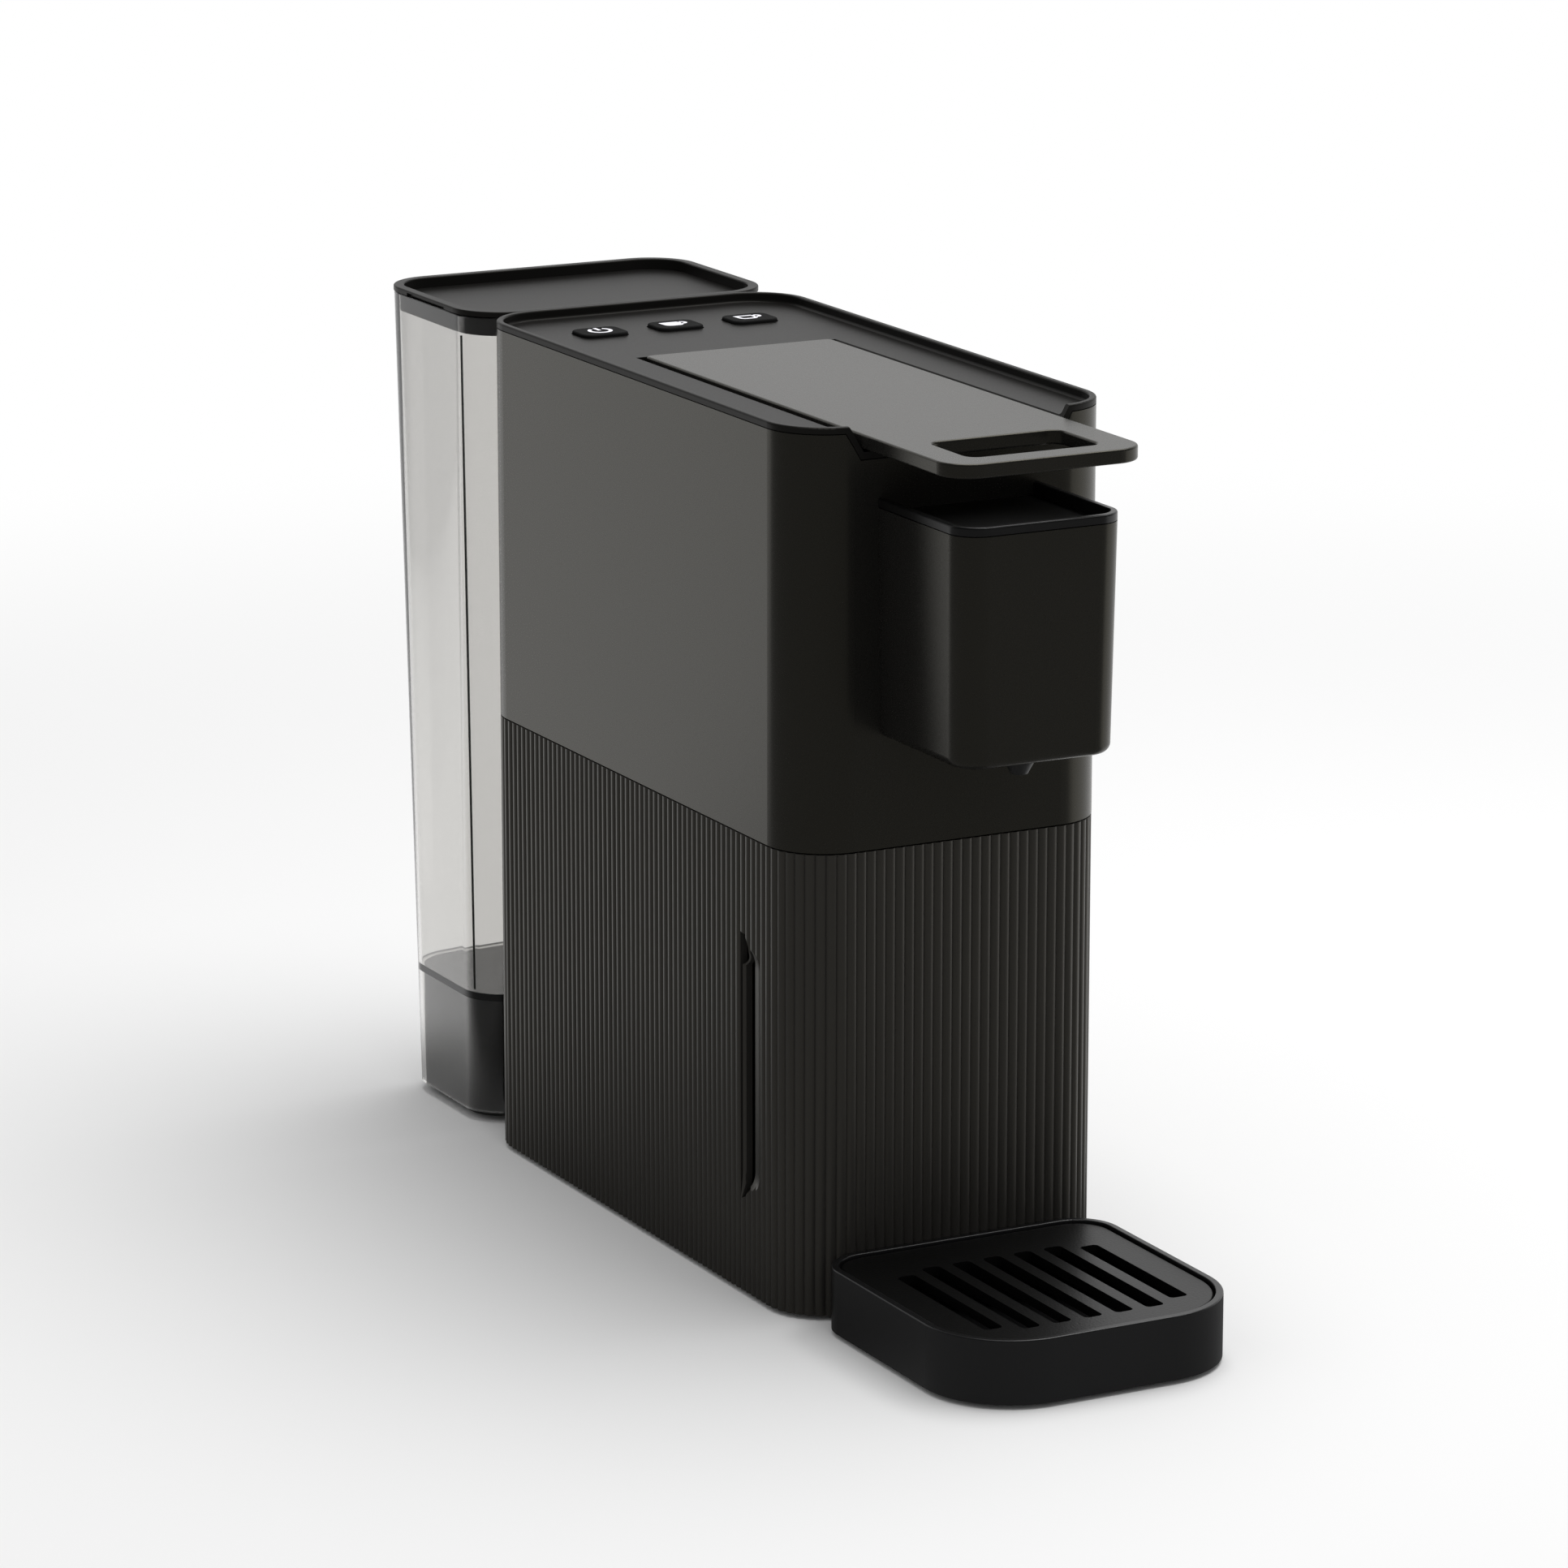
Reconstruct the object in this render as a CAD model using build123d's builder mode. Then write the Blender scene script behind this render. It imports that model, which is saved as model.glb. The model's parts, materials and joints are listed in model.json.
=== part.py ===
# Pod coffee machine with a top lever, a lift-off water tank and a pull-out drip tray.
# +Z is up and the front faces -Y. The origin is on the ground under the middle of the whole machine.
import math
import os

from build123d import *

os.makedirs("parts", exist_ok=True)

# Driving dimensions in millimetres: outer form
body_width = 110.0
body_depth = 222.5
body_height = 275.9
body_corner = 19.3
foot_height = 1.5
tray_reach = 98.0
tank_gap = 1.5
tank_depth = 77.0

# Walls, seams and fits
wall = 2.0
seat_gap = 0.3
fit_gap = 0.1
pin_gap = 0.05
shell_seam = 0.5
band_seam = 0.3
lip_wall = 1.6
lip_drop = 3.0
lip_rise = 2.0

# Ribbed lower shell and the container front
lower_height = 145.4
rib_pitch = 3.3
rib_depth = 0.7
container_reach = 37.2
container_seam = 0.4
groove_width = 7.3
groove_low = 29.5
groove_high = 114.7
groove_end = 10.0
pull_lip_gap = 1.5
pull_lip_width = 1.4
scoop_radius = 12.0
scoop_depth = 1.4

# Base plate and feet
base_lift = 0.5
base_gap = 0.8
base_thickness = 3.0
foot_radius = 7.0
foot_inset = 16.0
vent_width = 3.0
vent_length = 34.0
vent_pitch = 7.0
vent_count = 6

# Top deck and the lever channel
rim_band = 2.0
rim_width = 2.2
rim_round = 0.6
deck_drop = 3.2
deck_thickness = 3.2
deck_round = 1.0
rebate = 1.0
channel_top_width = 75.0
channel_floor_width = 65.4
channel_depth = 8.0
channel_wall = 2.2
slot_front = 12.5
slot_length = 33.0
slot_width = 39.0

# Lever and its hinge
lever_width = 66.2
lever_side_gap = 0.8
lever_thickness = 4.4
lever_overhang = 55.0
lever_proud = 0.6
lever_corner = 10.0
lever_rear_corner = 2.5
lever_round = 0.7
lever_swing = 80.0
hinge_back = 140.0
lever_tail = 5.0
lever_rear_gap = 0.9
barrel_radius = 3.4
barrel_length = 56.0
hinge_pin_radius = 1.7
grip_width = 44.2
grip_depth = 26.0
grip_corner = 4.0
grip_front_edge = 9.5
crank_radius = 24.0
crank_width = 6.5
crank_thickness = 4.0
crank_pin_radius = 2.5
yoke_play = 0.8
yoke_rim = 4.2

# Buttons
button_spacing = 27.0
button_back = 189.0
button_width = 16.0
button_depth = 13.0
button_corner = 3.2
button_proud = 1.1
button_round = 0.6
button_travel = 1.0
button_flange = 1.5
flange_thickness = 1.2
stem_radius = 2.0
stem_length = 2.0
switch_size = 6.0
switch_height = 3.6
board_thickness = 1.6
board_margin = 9.0
post_radius = 2.5

# Brew head on the front
head_width = 55.6
head_taper = 2.0
head_reach = 52.0
head_corner = 9.0
head_drop = 22.4
head_height = 73.2
head_wall = 1.4
head_foot_round = 3.0
cap_band = 2.6
cap_seam = 0.3
cap_rim = 2.4
cap_drop = 4.0
cap_floor = 2.0
nozzle_back = 37.0
nozzle_radius = 4.5
nozzle_tip_radius = 2.6
nozzle_bore = 1.8
nozzle_drop = 5.8
nozzle_cone = 3.5
nozzle_flange = 7.0
flange_lift = 1.5
funnel_width = 24.0
funnel_depth = 14.0
funnel_wall = 1.6
funnel_front = 46.0
funnel_back = 11.5

# Brew unit inside
brew_drop = 49.9
cage_back = 44.4
cage_radius = 19.7
cage_bore = 15.3
cage_length = 23.4
cage_floor = 2.5
outlet_radius = 3.5
outlet_bore = 1.8
outlet_length = 15.0
outlet_drop = 9.0
clamp_gap = 0.6
bar_inner = 20.3
bar_thickness = 2.5
bar_rise = 4.3
bar_height = 11.7
rail_front = 12.0
rail_height = 24.0
leg_back = 110.0
leg_depth = 32.0
leg_foot = 7.0
foot_plate = 2.5
cross_back = 60.0
cross_thickness = 4.0
cross_height = 20.0
plate_radius = 19.5
plate_thickness = 10.0
boss_radius = 8.0
port_radius = 3.0
port_bore = 1.6
port_length = 10.0
seal_inner = 16.2
seal_outer = 18.4
seal_thickness = 1.9

# Shelf, bulkhead and the works on them
shelf_thickness = 2.5
shelf_front = 66.0
bulkhead_back = 134.0
bulkhead_thickness = 2.5
bulkhead_flange = 9.0
flange_height = 6.0
bulkhead_gap = 0.4
block_side_gap = 29.0
block_depth = 58.0
block_height = 38.0
block_back = 112.0
block_lift = 6.0
block_round = 3.0
clamp_thickness = 1.5
clamp_width = 12.0
nipple_radius = 3.0
nipple_length = 8.0
block_port_height = 22.0
pump_side = 14.0
pump_back = 195.0
pump_radius = 16.0
pump_low = 60.0
pump_length = 62.0
coil_width = 38.0
coil_height = 34.0
neck_radius = 8.0
neck_length = 11.0
mount_radius = 13.0
mount_height = 9.0
bracket_thickness = 2.0
bracket_width = 34.0
meter_side = 25.0
meter_radius = 14.0
meter_height = 20.0
hose_radius = 3.0
hose_bore = 1.8
hose_bend = 8.0
power_board_inset = 15.0
power_board_back = 120.0
power_board_length = 74.0
power_board_height = 60.0
relay_length = 20.0
relay_height = 16.0
relay_depth = 12.0
gland_back = 188.0
gland_height = 16.0
gland_radius = 6.0
gland_flange = 8.5
gland_flange_thickness = 2.0
gland_bore = 3.4
screw_head_radius = 3.0
screw_head_height = 1.8
screw_radius = 1.5
screw_length = 8.0
screw_spacing = 60.0

# Capsule bin
bin_side_gap = 8.0
bin_depth = 125.0
bin_height = 134.0
bin_wall = 1.8
bin_corner = 16.0
rack_lift = 22.0
rack_thickness = 2.0
rack_leg_radius = 3.0
rack_slot_width = 4.0
rack_slot_length = 74.0
rack_slot_count = 9
rack_slot_pitch = 8.5

# Drip tray and grid
tray_width = 98.0
tray_height = 20.0
tray_gap = 0.6
tray_front_corner = 28.0
tray_rear_corner = 14.0
tray_rim = 2.4
tray_ledge = 3.2
tray_floor = 2.0
tray_round = 0.5
tray_foot_radius = 5.0
tray_foot_inset = 18.0
grid_gap = 0.7
grid_drop = 0.8
grid_thickness = 3.0
grid_round = 0.6
grid_slot_width = 6.2
grid_slot_pitch = 10.6
grid_slot_length = 63.0
grid_end_slot_length = 55.0
grid_slot_middle = 53.5
grid_slot_corner = 1.6
tongue_width = 10.0
tongue_side = 21.0
tongue_low = 5.0
tongue_height = 6.0
tongue_length = 2.8

# Water tank, lid and plinth
tank_low = 2.0
tank_top_drop = 2.4
tank_side_lean = 5.2
tank_top_inset = 0.4
tank_front_lean = 7.4
tank_rear_lean = 9.4
tank_corner = 16.0
tank_foot_corner = 14.0
tank_wall = 1.6
tank_floor_height = 41.0
tank_floor = 2.5
lid_band = 1.7
lid_gap = 0.3
lid_corner = 17.0
lid_drop = 3.5
lid_plug_depth = 6.5
lid_plug_wall = 1.2
lid_plug_gap = 0.3
lid_floor = 1.8
lid_round = 0.5
notch_front = 24.0
notch_length = 29.0
notch_height = 1.0
notch_depth = 1.4
plinth_gap = 0.6
plinth_wall = 2.5
plinth_lift = 0.4
plinth_neck_width = 68.0
plinth_neck_height = 28.0
neck_side_gap = 1.0
valve_back = 38.0
spigot_radius = 7.0
spigot_wall = 1.6
socket_radius = 11.0
socket_gap = 0.6
socket_depth = 17.0
socket_floor = 2.0
seal_ring_inner = 3.5
seal_ring_height = 2.0
socket_port_height = 20.0
socket_port_length = 8.0
poppet_radius = 2.6
poppet_head_radius = 8.0
poppet_head_height = 2.0
poppet_travel = 2.0
poppet_stem = 9.0
plinth_foot_side = 38.0
plinth_foot_inset = 10.0

# Places that follow from the sizes above
overall_length = tray_reach + body_depth + tank_gap + tank_depth
front_y = tray_reach - overall_length / 2
rear_y = front_y + body_depth
body_mid_y = (front_y + rear_y) / 2
base_z = foot_height
rim_z = base_z + body_height
seam_z = base_z + lower_height
shell_bottom_z = seam_z + shell_seam
lip_top_z = shell_bottom_z + lip_rise
band_bottom_z = rim_z - rim_band
shell_top_z = band_bottom_z - band_seam
deck_z = rim_z - deck_drop
deck_under_z = deck_z - deck_thickness
channel_floor_z = rim_z - channel_depth
ribbed_wall = wall + rib_depth
container_y = front_y + container_reach
base_plate_z = base_z + base_lift
base_top_z = base_plate_z + base_thickness
shelf_z = lip_top_z
shelf_top_z = shelf_z + shelf_thickness
lever_top_z = deck_z + lever_proud
lever_under_z = lever_top_z - lever_thickness
hinge_y = front_y + hinge_back
hinge_z = lever_top_z - barrel_radius
channel_end_y = hinge_y + lever_tail + lever_rear_gap
crank_lead = math.radians(lever_swing / 2)
crank_y = hinge_y + crank_radius * math.sin(crank_lead)
crank_z = hinge_z - crank_radius * math.cos(crank_lead)
brew_z = rim_z - brew_drop
bar_z = brew_z + bar_rise
bar_outer = bar_inner + bar_thickness
rail_top_z = bar_z - seat_gap
rail_z = rail_top_z - rail_height
cage_y = front_y + cage_back
plate_y = cage_y + clamp_gap
cross_y = front_y + cross_back
head_top_z = rim_z - head_drop
head_bottom_z = head_top_z - head_height
cap_z = head_top_z - cap_band
button_y = front_y + button_back
stem_z = deck_under_z - seat_gap - flange_thickness - stem_length
board_top_z = stem_z - button_travel - switch_height
tray_rear_y = front_y - tray_gap
tray_front_y = front_y - tray_reach
tray_depth = tray_rear_y - tray_front_y
tray_top_z = base_z + tray_height
grid_top_z = tray_top_z - grid_drop
ledge_z = grid_top_z - grid_thickness
tank_top_width = body_width - 2 * tank_top_inset
tank_foot_width = tank_top_width - tank_side_lean
tank_front_y = rear_y + tank_gap
tank_rear_y = tank_front_y + tank_depth
tank_low_z = base_z + tank_low
tank_top_z = rim_z - tank_top_drop
tank_floor_z = base_z + tank_floor_height
valve_y = tank_front_y + valve_back
plinth_z = base_z + plinth_lift
bin_width = body_width - 2 * bin_side_gap
bin_y = front_y + ribbed_wall
bin_mid_y = bin_y + bin_depth / 2
bin_z = base_top_z + seat_gap


# A horizontal plane at a height, centred at the given depth
def level(height, depth=0.0):
    return Plane((0, depth, height))


# A plane facing the front: its x is X and its y is Z
def upright(depth):
    return Plane((0, depth, 0), x_dir=(1, 0, 0), z_dir=(0, -1, 0))


# A plane facing the right: its x is Y and its y is Z
def sideways(side):
    return Plane((side, 0, 0), x_dir=(0, 1, 0), z_dir=(1, 0, 0))


# The rounded outline of the body, drawn in from its outer face
def body_outline(inset=0.0, mode=Mode.ADD):
    RectangleRounded(body_width - 2 * inset, body_depth - 2 * inset, body_corner - inset, mode=mode)


# Half the width of the lever channel at a height: its sides slope in towards its floor
def channel_half(height):
    share = (height - channel_floor_z) / channel_depth
    return (channel_floor_width + share * (channel_top_width - channel_floor_width)) / 2


# The channel's section between two heights, made wider on each side by an amount
def channel_section(low, high, wider=0.0):
    low_half = channel_half(low) + wider
    high_half = channel_half(high) + wider
    Polygon((-low_half, low), (low_half, low), (high_half, high), (-high_half, high), align=None)


# Half width, front, rear and corner radius of the leaning tank at a height
def tank_span(height):
    share = (height - tank_low_z) / (tank_top_z - tank_low_z)
    width = tank_foot_width + share * (tank_top_width - tank_foot_width)
    front = tank_front_y + tank_top_inset + (1 - share) * tank_front_lean
    rear = tank_rear_y - tank_top_inset - (1 - share) * tank_rear_lean
    corner = tank_foot_corner + share * (tank_corner - tank_foot_corner)
    return width, front, rear, corner


# The tank's level plane, centred in its section at that height
def tank_level(height):
    width, front, rear, corner = tank_span(height)
    return level(height, (front + rear) / 2)


# The tank's section at a height, drawn in by an amount
def tank_outline(height, inset=0.0):
    width, front, rear, corner = tank_span(height)
    RectangleRounded(width - 2 * inset, rear - front - 2 * inset, corner - inset)


# Outlines that several pieces share
with BuildSketch(level(0, body_mid_y)) as rib_valleys:
    body_outline(rib_depth)
valley_wire = rib_valleys.sketch.face().outer_wire()
valley_middle = Vector(0, body_mid_y, 0)
rib_count = round(valley_wire.length / rib_pitch)

with BuildSketch() as ribbed_ring:
    with BuildLine():
        for rib in range(rib_count):
            start = valley_wire.position_at(rib / rib_count)
            middle = valley_wire.position_at((rib + 0.5) / rib_count)
            finish = valley_wire.position_at((rib + 1) % rib_count / rib_count)
            along = valley_wire.tangent_at((rib + 0.5) / rib_count)
            outward = Vector(along.Y, -along.X, 0)
            side = math.copysign(1, outward.dot(middle - valley_middle))
            ThreePointArc(start, middle + outward * (side * rib_depth), finish)
    make_face()
    with Locations((0, body_mid_y)):
        body_outline(ribbed_wall, mode=Mode.SUBTRACT)


# A brew head section: square at the body, rounded at the front
def head_section(width, reach, corner):
    with BuildSketch() as section:
        with Locations((0, -reach / 2)):
            Rectangle(width, reach)
        fillet(section.vertices().group_by(Axis.Y)[0], corner)
    return section.sketch


# A tray section: large round corners in front, smaller ones at the body
def tray_section(inset):
    with BuildSketch() as section:
        with Locations((0, -tray_depth / 2)):
            Rectangle(tray_width - 2 * inset, tray_depth - 2 * inset)
        fillet(section.vertices().group_by(Axis.Y)[0], tray_front_corner - inset)
        fillet(section.vertices().group_by(Axis.Y)[-1], tray_rear_corner - inset)
    return section.sketch


head_foot = head_section(head_width - head_taper, head_reach - head_taper / 2, head_corner)
head_rim = head_section(head_width, head_reach, head_corner)
head_foot_inner = head_section(
    head_width - head_taper - 2 * head_wall, head_reach - head_taper / 2 - head_wall, head_corner - head_wall
)
head_rim_inner = head_section(head_width - 2 * head_wall, head_reach - head_wall, head_corner - head_wall)
cap_plug_inset = head_wall + fit_gap
cap_plug = head_section(
    head_width - 2 * cap_plug_inset - head_taper / 4,
    head_reach - cap_plug_inset - head_taper / 4,
    head_corner - cap_plug_inset,
)
cap_recess = head_section(head_width - 2 * cap_rim, head_reach - cap_rim, head_corner - cap_rim)
tray_outer = tray_section(0)
tray_mouth = tray_section(tray_rim)
tray_basin = tray_section(tray_rim + tray_ledge)
grid_outline = tray_section(tray_rim + grid_gap)

# Base plate, with vents under the pump and counterbored screw holes
screw_y = front_y + bulkhead_back + bulkhead_thickness + bulkhead_flange / 2
counterbore_radius = screw_head_radius + pin_gap
with BuildPart() as base_plate:
    with BuildSketch(level(base_plate_z, body_mid_y)):
        body_outline(ribbed_wall + base_gap)
    extrude(amount=base_thickness)
    with BuildSketch(level(base_plate_z, front_y + bulkhead_back + bulkhead_flange + vent_length)):
        with GridLocations(vent_pitch, 0, vent_count, 1):
            SlotOverall(vent_length, vent_width, rotation=90)
    extrude(amount=base_thickness, mode=Mode.SUBTRACT)
    with Locations(Plane((0, screw_y, base_plate_z), z_dir=(0, 0, -1))):
        with GridLocations(screw_spacing, 0, 2, 1):
            CounterBoreHole(screw_radius, counterbore_radius, screw_head_height, depth=base_thickness)
base_plate.part.label = "base_plate"
export_step(base_plate.part, "parts/base_plate.step")

# Rubber feet under the base plate and the plinth
plinth_width, plinth_front_y, plinth_rear_y, plinth_corner = tank_span(tank_low_z)
plinth_foot_y = plinth_rear_y - tank_wall - plinth_gap - plinth_foot_inset
with BuildPart() as rubber_feet:
    with BuildSketch(level(0, body_mid_y)):
        with GridLocations(body_width - 2 * foot_inset, body_depth - 2 * foot_inset, 2, 2):
            Circle(foot_radius)
    extrude(amount=base_plate_z)
    with BuildSketch(level(0, plinth_foot_y)):
        with GridLocations(2 * plinth_foot_side, 0, 2, 1):
            Circle(foot_radius)
    extrude(amount=plinth_z)
rubber_feet.part.label = "rubber_feet"
export_step(rubber_feet.part, "parts/rubber_feet.step")

# Screws that hold the base plate to the bulkhead
with BuildPart() as base_screws:
    with BuildSketch(level(base_plate_z, screw_y)):
        with GridLocations(screw_spacing, 0, 2, 1):
            Circle(screw_head_radius)
    extrude(amount=screw_head_height)
    with BuildSketch(level(base_plate_z + screw_head_height, screw_y)):
        with GridLocations(screw_spacing, 0, 2, 1):
            Circle(screw_radius - pin_gap)
    extrude(amount=screw_length - screw_head_height)
base_screws.part.label = "base_screws"
export_step(base_screws.part, "parts/base_screws.step")

# Rear part of the ribbed lower shell, with holes for the suction hose and the cord gland
hose_hole = hose_radius + 2 * seat_gap
with BuildPart() as rear_lower_shell:
    with BuildSketch(level(base_z)):
        add(ribbed_ring.sketch)
    extrude(amount=lower_height)
    split(bisect_by=Plane((0, container_y + container_seam, 0), z_dir=(0, 1, 0)), keep=Keep.TOP)
    with BuildSketch(upright(rear_y + tank_gap)):
        with Locations((meter_side, base_z + socket_port_height)):
            Circle(hose_hole)
    extrude(amount=body_corner, mode=Mode.SUBTRACT)
    with BuildSketch(sideways(body_width / 2 + rib_depth)):
        with Locations((front_y + gland_back, base_z + gland_height)):
            Circle(gland_radius)
    extrude(amount=-body_corner, mode=Mode.SUBTRACT)
rear_lower_shell.part.label = "rear_lower_shell"
export_step(rear_lower_shell.part, "parts/rear_lower_shell.step")

# Cord gland, flush with the rib crests on the right side
gland_inner_x = body_width / 2 - ribbed_wall
with BuildPart() as cord_gland:
    with BuildSketch(sideways(gland_inner_x)):
        with Locations((front_y + gland_back, base_z + gland_height)):
            Circle(gland_radius - fit_gap)
    extrude(amount=ribbed_wall)
    with BuildSketch(sideways(gland_inner_x)):
        with Locations((front_y + gland_back, base_z + gland_height)):
            Circle(gland_flange)
    extrude(amount=-gland_flange_thickness)
    with BuildSketch(sideways(gland_inner_x - gland_flange_thickness)):
        with Locations((front_y + gland_back, base_z + gland_height)):
            Circle(gland_bore)
    extrude(amount=gland_flange_thickness + ribbed_wall, mode=Mode.SUBTRACT)
cord_gland.part.label = "cord_gland"
export_step(cord_gland.part, "parts/cord_gland.step")

# Smooth upper shell: open for the brew unit, notched for the lever channel, with a lip inside the lower shell
lip_inset = ribbed_wall + seat_gap
opening_half = bar_outer + 2 * seat_gap
opening_low = head_bottom_z + head_wall + flange_lift - seat_gap
opening_high = cap_z - cap_drop + cap_band - cap_floor - seat_gap
with BuildPart() as upper_shell:
    with BuildSketch(level(shell_bottom_z, body_mid_y)):
        body_outline()
        body_outline(wall, mode=Mode.SUBTRACT)
    extrude(amount=shell_top_z - shell_bottom_z)
    with BuildSketch(level(shell_bottom_z, body_mid_y)):
        body_outline(wall)
        body_outline(lip_inset + lip_wall, mode=Mode.SUBTRACT)
    extrude(amount=lip_rise)
    with BuildSketch(level(shell_bottom_z, body_mid_y)):
        body_outline(lip_inset)
        body_outline(lip_inset + lip_wall, mode=Mode.SUBTRACT)
    extrude(amount=-lip_drop)
    with BuildSketch(level(deck_under_z, body_mid_y)):
        body_outline(rebate)
    extrude(amount=body_corner, mode=Mode.SUBTRACT)
    with BuildSketch(upright(front_y)):
        channel_section(channel_floor_z - channel_wall - band_seam, rim_z, channel_wall + band_seam)
    extrude(amount=-body_corner, mode=Mode.SUBTRACT)
    with BuildSketch(upright(front_y)):
        with Locations((0, (opening_low + opening_high) / 2)):
            Rectangle(2 * opening_half, opening_high - opening_low)
    extrude(amount=-body_corner, mode=Mode.SUBTRACT)
upper_shell.part.label = "upper_shell"
export_step(upper_shell.part, "parts/upper_shell.step")

# Top deck: a tray with a raised rim, the lever channel, button holes and posts for the control board
board_width = 2 * button_spacing + button_width + 2 * board_margin
board_depth = button_depth + 2 * board_margin
post_spread_x = board_width - 4 * post_radius
post_spread_y = board_depth - 3 * post_radius
channel_length = channel_end_y - front_y
hinge_well = lever_tail + 2 * crank_width
button_hole_width = button_width + 2 * seat_gap
button_hole_depth = button_depth + 2 * seat_gap
with BuildPart() as top_deck:
    with BuildSketch(level(deck_under_z, body_mid_y)):
        body_outline(rebate + fit_gap)
    extrude(amount=band_bottom_z - deck_under_z)
    with BuildSketch(level(band_bottom_z, body_mid_y)):
        body_outline()
    extrude(amount=rim_band)
    with BuildSketch(level(deck_z, body_mid_y)):
        body_outline(rim_width)
    extrude(amount=deck_drop, mode=Mode.SUBTRACT)
    fillet(top_deck.edges().group_by(Axis.Z)[-1], rim_round)
    foot_edges = top_deck.faces().filter_by(Axis.Z).filter_by_position(Axis.Z, deck_z, deck_z).edges()
    fillet(foot_edges, deck_round)
    with BuildSketch(upright(front_y)):
        channel_section(channel_floor_z - channel_wall, deck_z, channel_wall)
    extrude(amount=-channel_length)
    with BuildSketch(upright(front_y)):
        channel_section(channel_floor_z - channel_wall, band_bottom_z, channel_wall)
    extrude(amount=-rim_width)
    with BuildSketch(upright(front_y)):
        channel_section(channel_floor_z, rim_z + rim_band)
    extrude(amount=-channel_length, mode=Mode.SUBTRACT)
    with BuildSketch(level(deck_under_z, channel_end_y - hinge_well / 2)):
        Rectangle(lever_width + 2 * lever_side_gap, hinge_well)
    extrude(amount=-channel_depth, both=True, mode=Mode.SUBTRACT)
    with BuildSketch(level(channel_floor_z, front_y + slot_front + slot_length / 2)):
        RectangleRounded(slot_width, slot_length, grip_corner)
    extrude(amount=-channel_depth, mode=Mode.SUBTRACT)
    with BuildSketch(sideways(-channel_top_width / 2)):
        with Locations((hinge_y, hinge_z)):
            Circle(hinge_pin_radius + pin_gap)
    extrude(amount=channel_top_width, mode=Mode.SUBTRACT)
    with BuildSketch(level(deck_z, button_y)):
        with GridLocations(button_spacing, 0, 3, 1):
            RectangleRounded(button_hole_width, button_hole_depth, button_corner + seat_gap)
    extrude(amount=-deck_thickness, mode=Mode.SUBTRACT)
    with BuildSketch(level(deck_under_z, button_y)):
        with GridLocations(post_spread_x, post_spread_y, 2, 2):
            Circle(post_radius)
    extrude(amount=board_top_z - deck_under_z)
    with BuildSketch(level(0, body_mid_y)):
        body_outline()
    extrude(amount=rim_z, mode=Mode.INTERSECT)
top_deck.part.label = "top_deck"
export_step(top_deck.part, "parts/top_deck.step")

# Steel pin of the lever hinge, held in the channel's side walls
with BuildPart() as lever_hinge_pin:
    with BuildSketch(sideways(-channel_top_width / 2)):
        with Locations((hinge_y, hinge_z)):
            Circle(hinge_pin_radius)
    extrude(amount=channel_top_width)
lever_hinge_pin.part.label = "lever_hinge_pin"
export_step(lever_hinge_pin.part, "parts/lever_hinge_pin.step")

# Lever: a flat plate with a grip hole, a hinge barrel and two cranks below it
lever_length = lever_overhang + hinge_back + lever_tail
lever_front_y = front_y - lever_overhang
crank_out = bar_inner - 2 * seat_gap
crank_angle = math.degrees(math.atan2(crank_z - hinge_z, crank_y - hinge_y))
with BuildPart() as lever:
    with BuildSketch(level(lever_under_z, lever_front_y)) as lever_plan:
        with Locations((0, lever_length / 2)):
            Rectangle(lever_width, lever_length)
        fillet(lever_plan.vertices().group_by(Axis.Y)[0], lever_corner)
        fillet(lever_plan.vertices().group_by(Axis.Y)[-1], lever_rear_corner)
        with Locations((0, grip_front_edge + grip_depth / 2)):
            RectangleRounded(grip_width, grip_depth, grip_corner, mode=Mode.SUBTRACT)
    extrude(amount=lever_thickness)
    fillet(lever.edges().group_by(Axis.Z)[-1] + lever.edges().group_by(Axis.Z)[0], lever_round)
    with BuildSketch(sideways(-barrel_length / 2)):
        with Locations((hinge_y, hinge_z)):
            Circle(barrel_radius)
    extrude(amount=barrel_length)
    for crank_x in (-crank_out, crank_out - crank_thickness):
        with BuildSketch(sideways(crank_x)):
            with Locations(((hinge_y + crank_y) / 2, (hinge_z + crank_z) / 2)):
                SlotCenterToCenter(crank_radius, crank_width, rotation=crank_angle)
        extrude(amount=crank_thickness)
    with BuildSketch(sideways(-lever_width / 2)):
        with Locations((hinge_y, hinge_z)):
            Circle(hinge_pin_radius + pin_gap)
    extrude(amount=lever_width, mode=Mode.SUBTRACT)
    with BuildSketch(sideways(-crank_out)):
        with Locations((crank_y, crank_z)):
            Circle(crank_pin_radius)
    extrude(amount=2 * crank_out, mode=Mode.SUBTRACT)
lever.part.label = "lever"
export_step(lever.part, "parts/lever.step")

# Steel crank pins that run in the yokes of the draw bars
crank_pin_length = bar_outer + seat_gap - crank_out + crank_thickness
with BuildPart() as crank_pins:
    for pin_x in (-bar_outer - seat_gap, crank_out - crank_thickness):
        with BuildSketch(sideways(pin_x)):
            with Locations((crank_y, crank_z)):
                Circle(crank_pin_radius)
        extrude(amount=crank_pin_length)
crank_pins.part.label = "crank_pins"
export_step(crank_pins.part, "parts/crank_pins.step")

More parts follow.
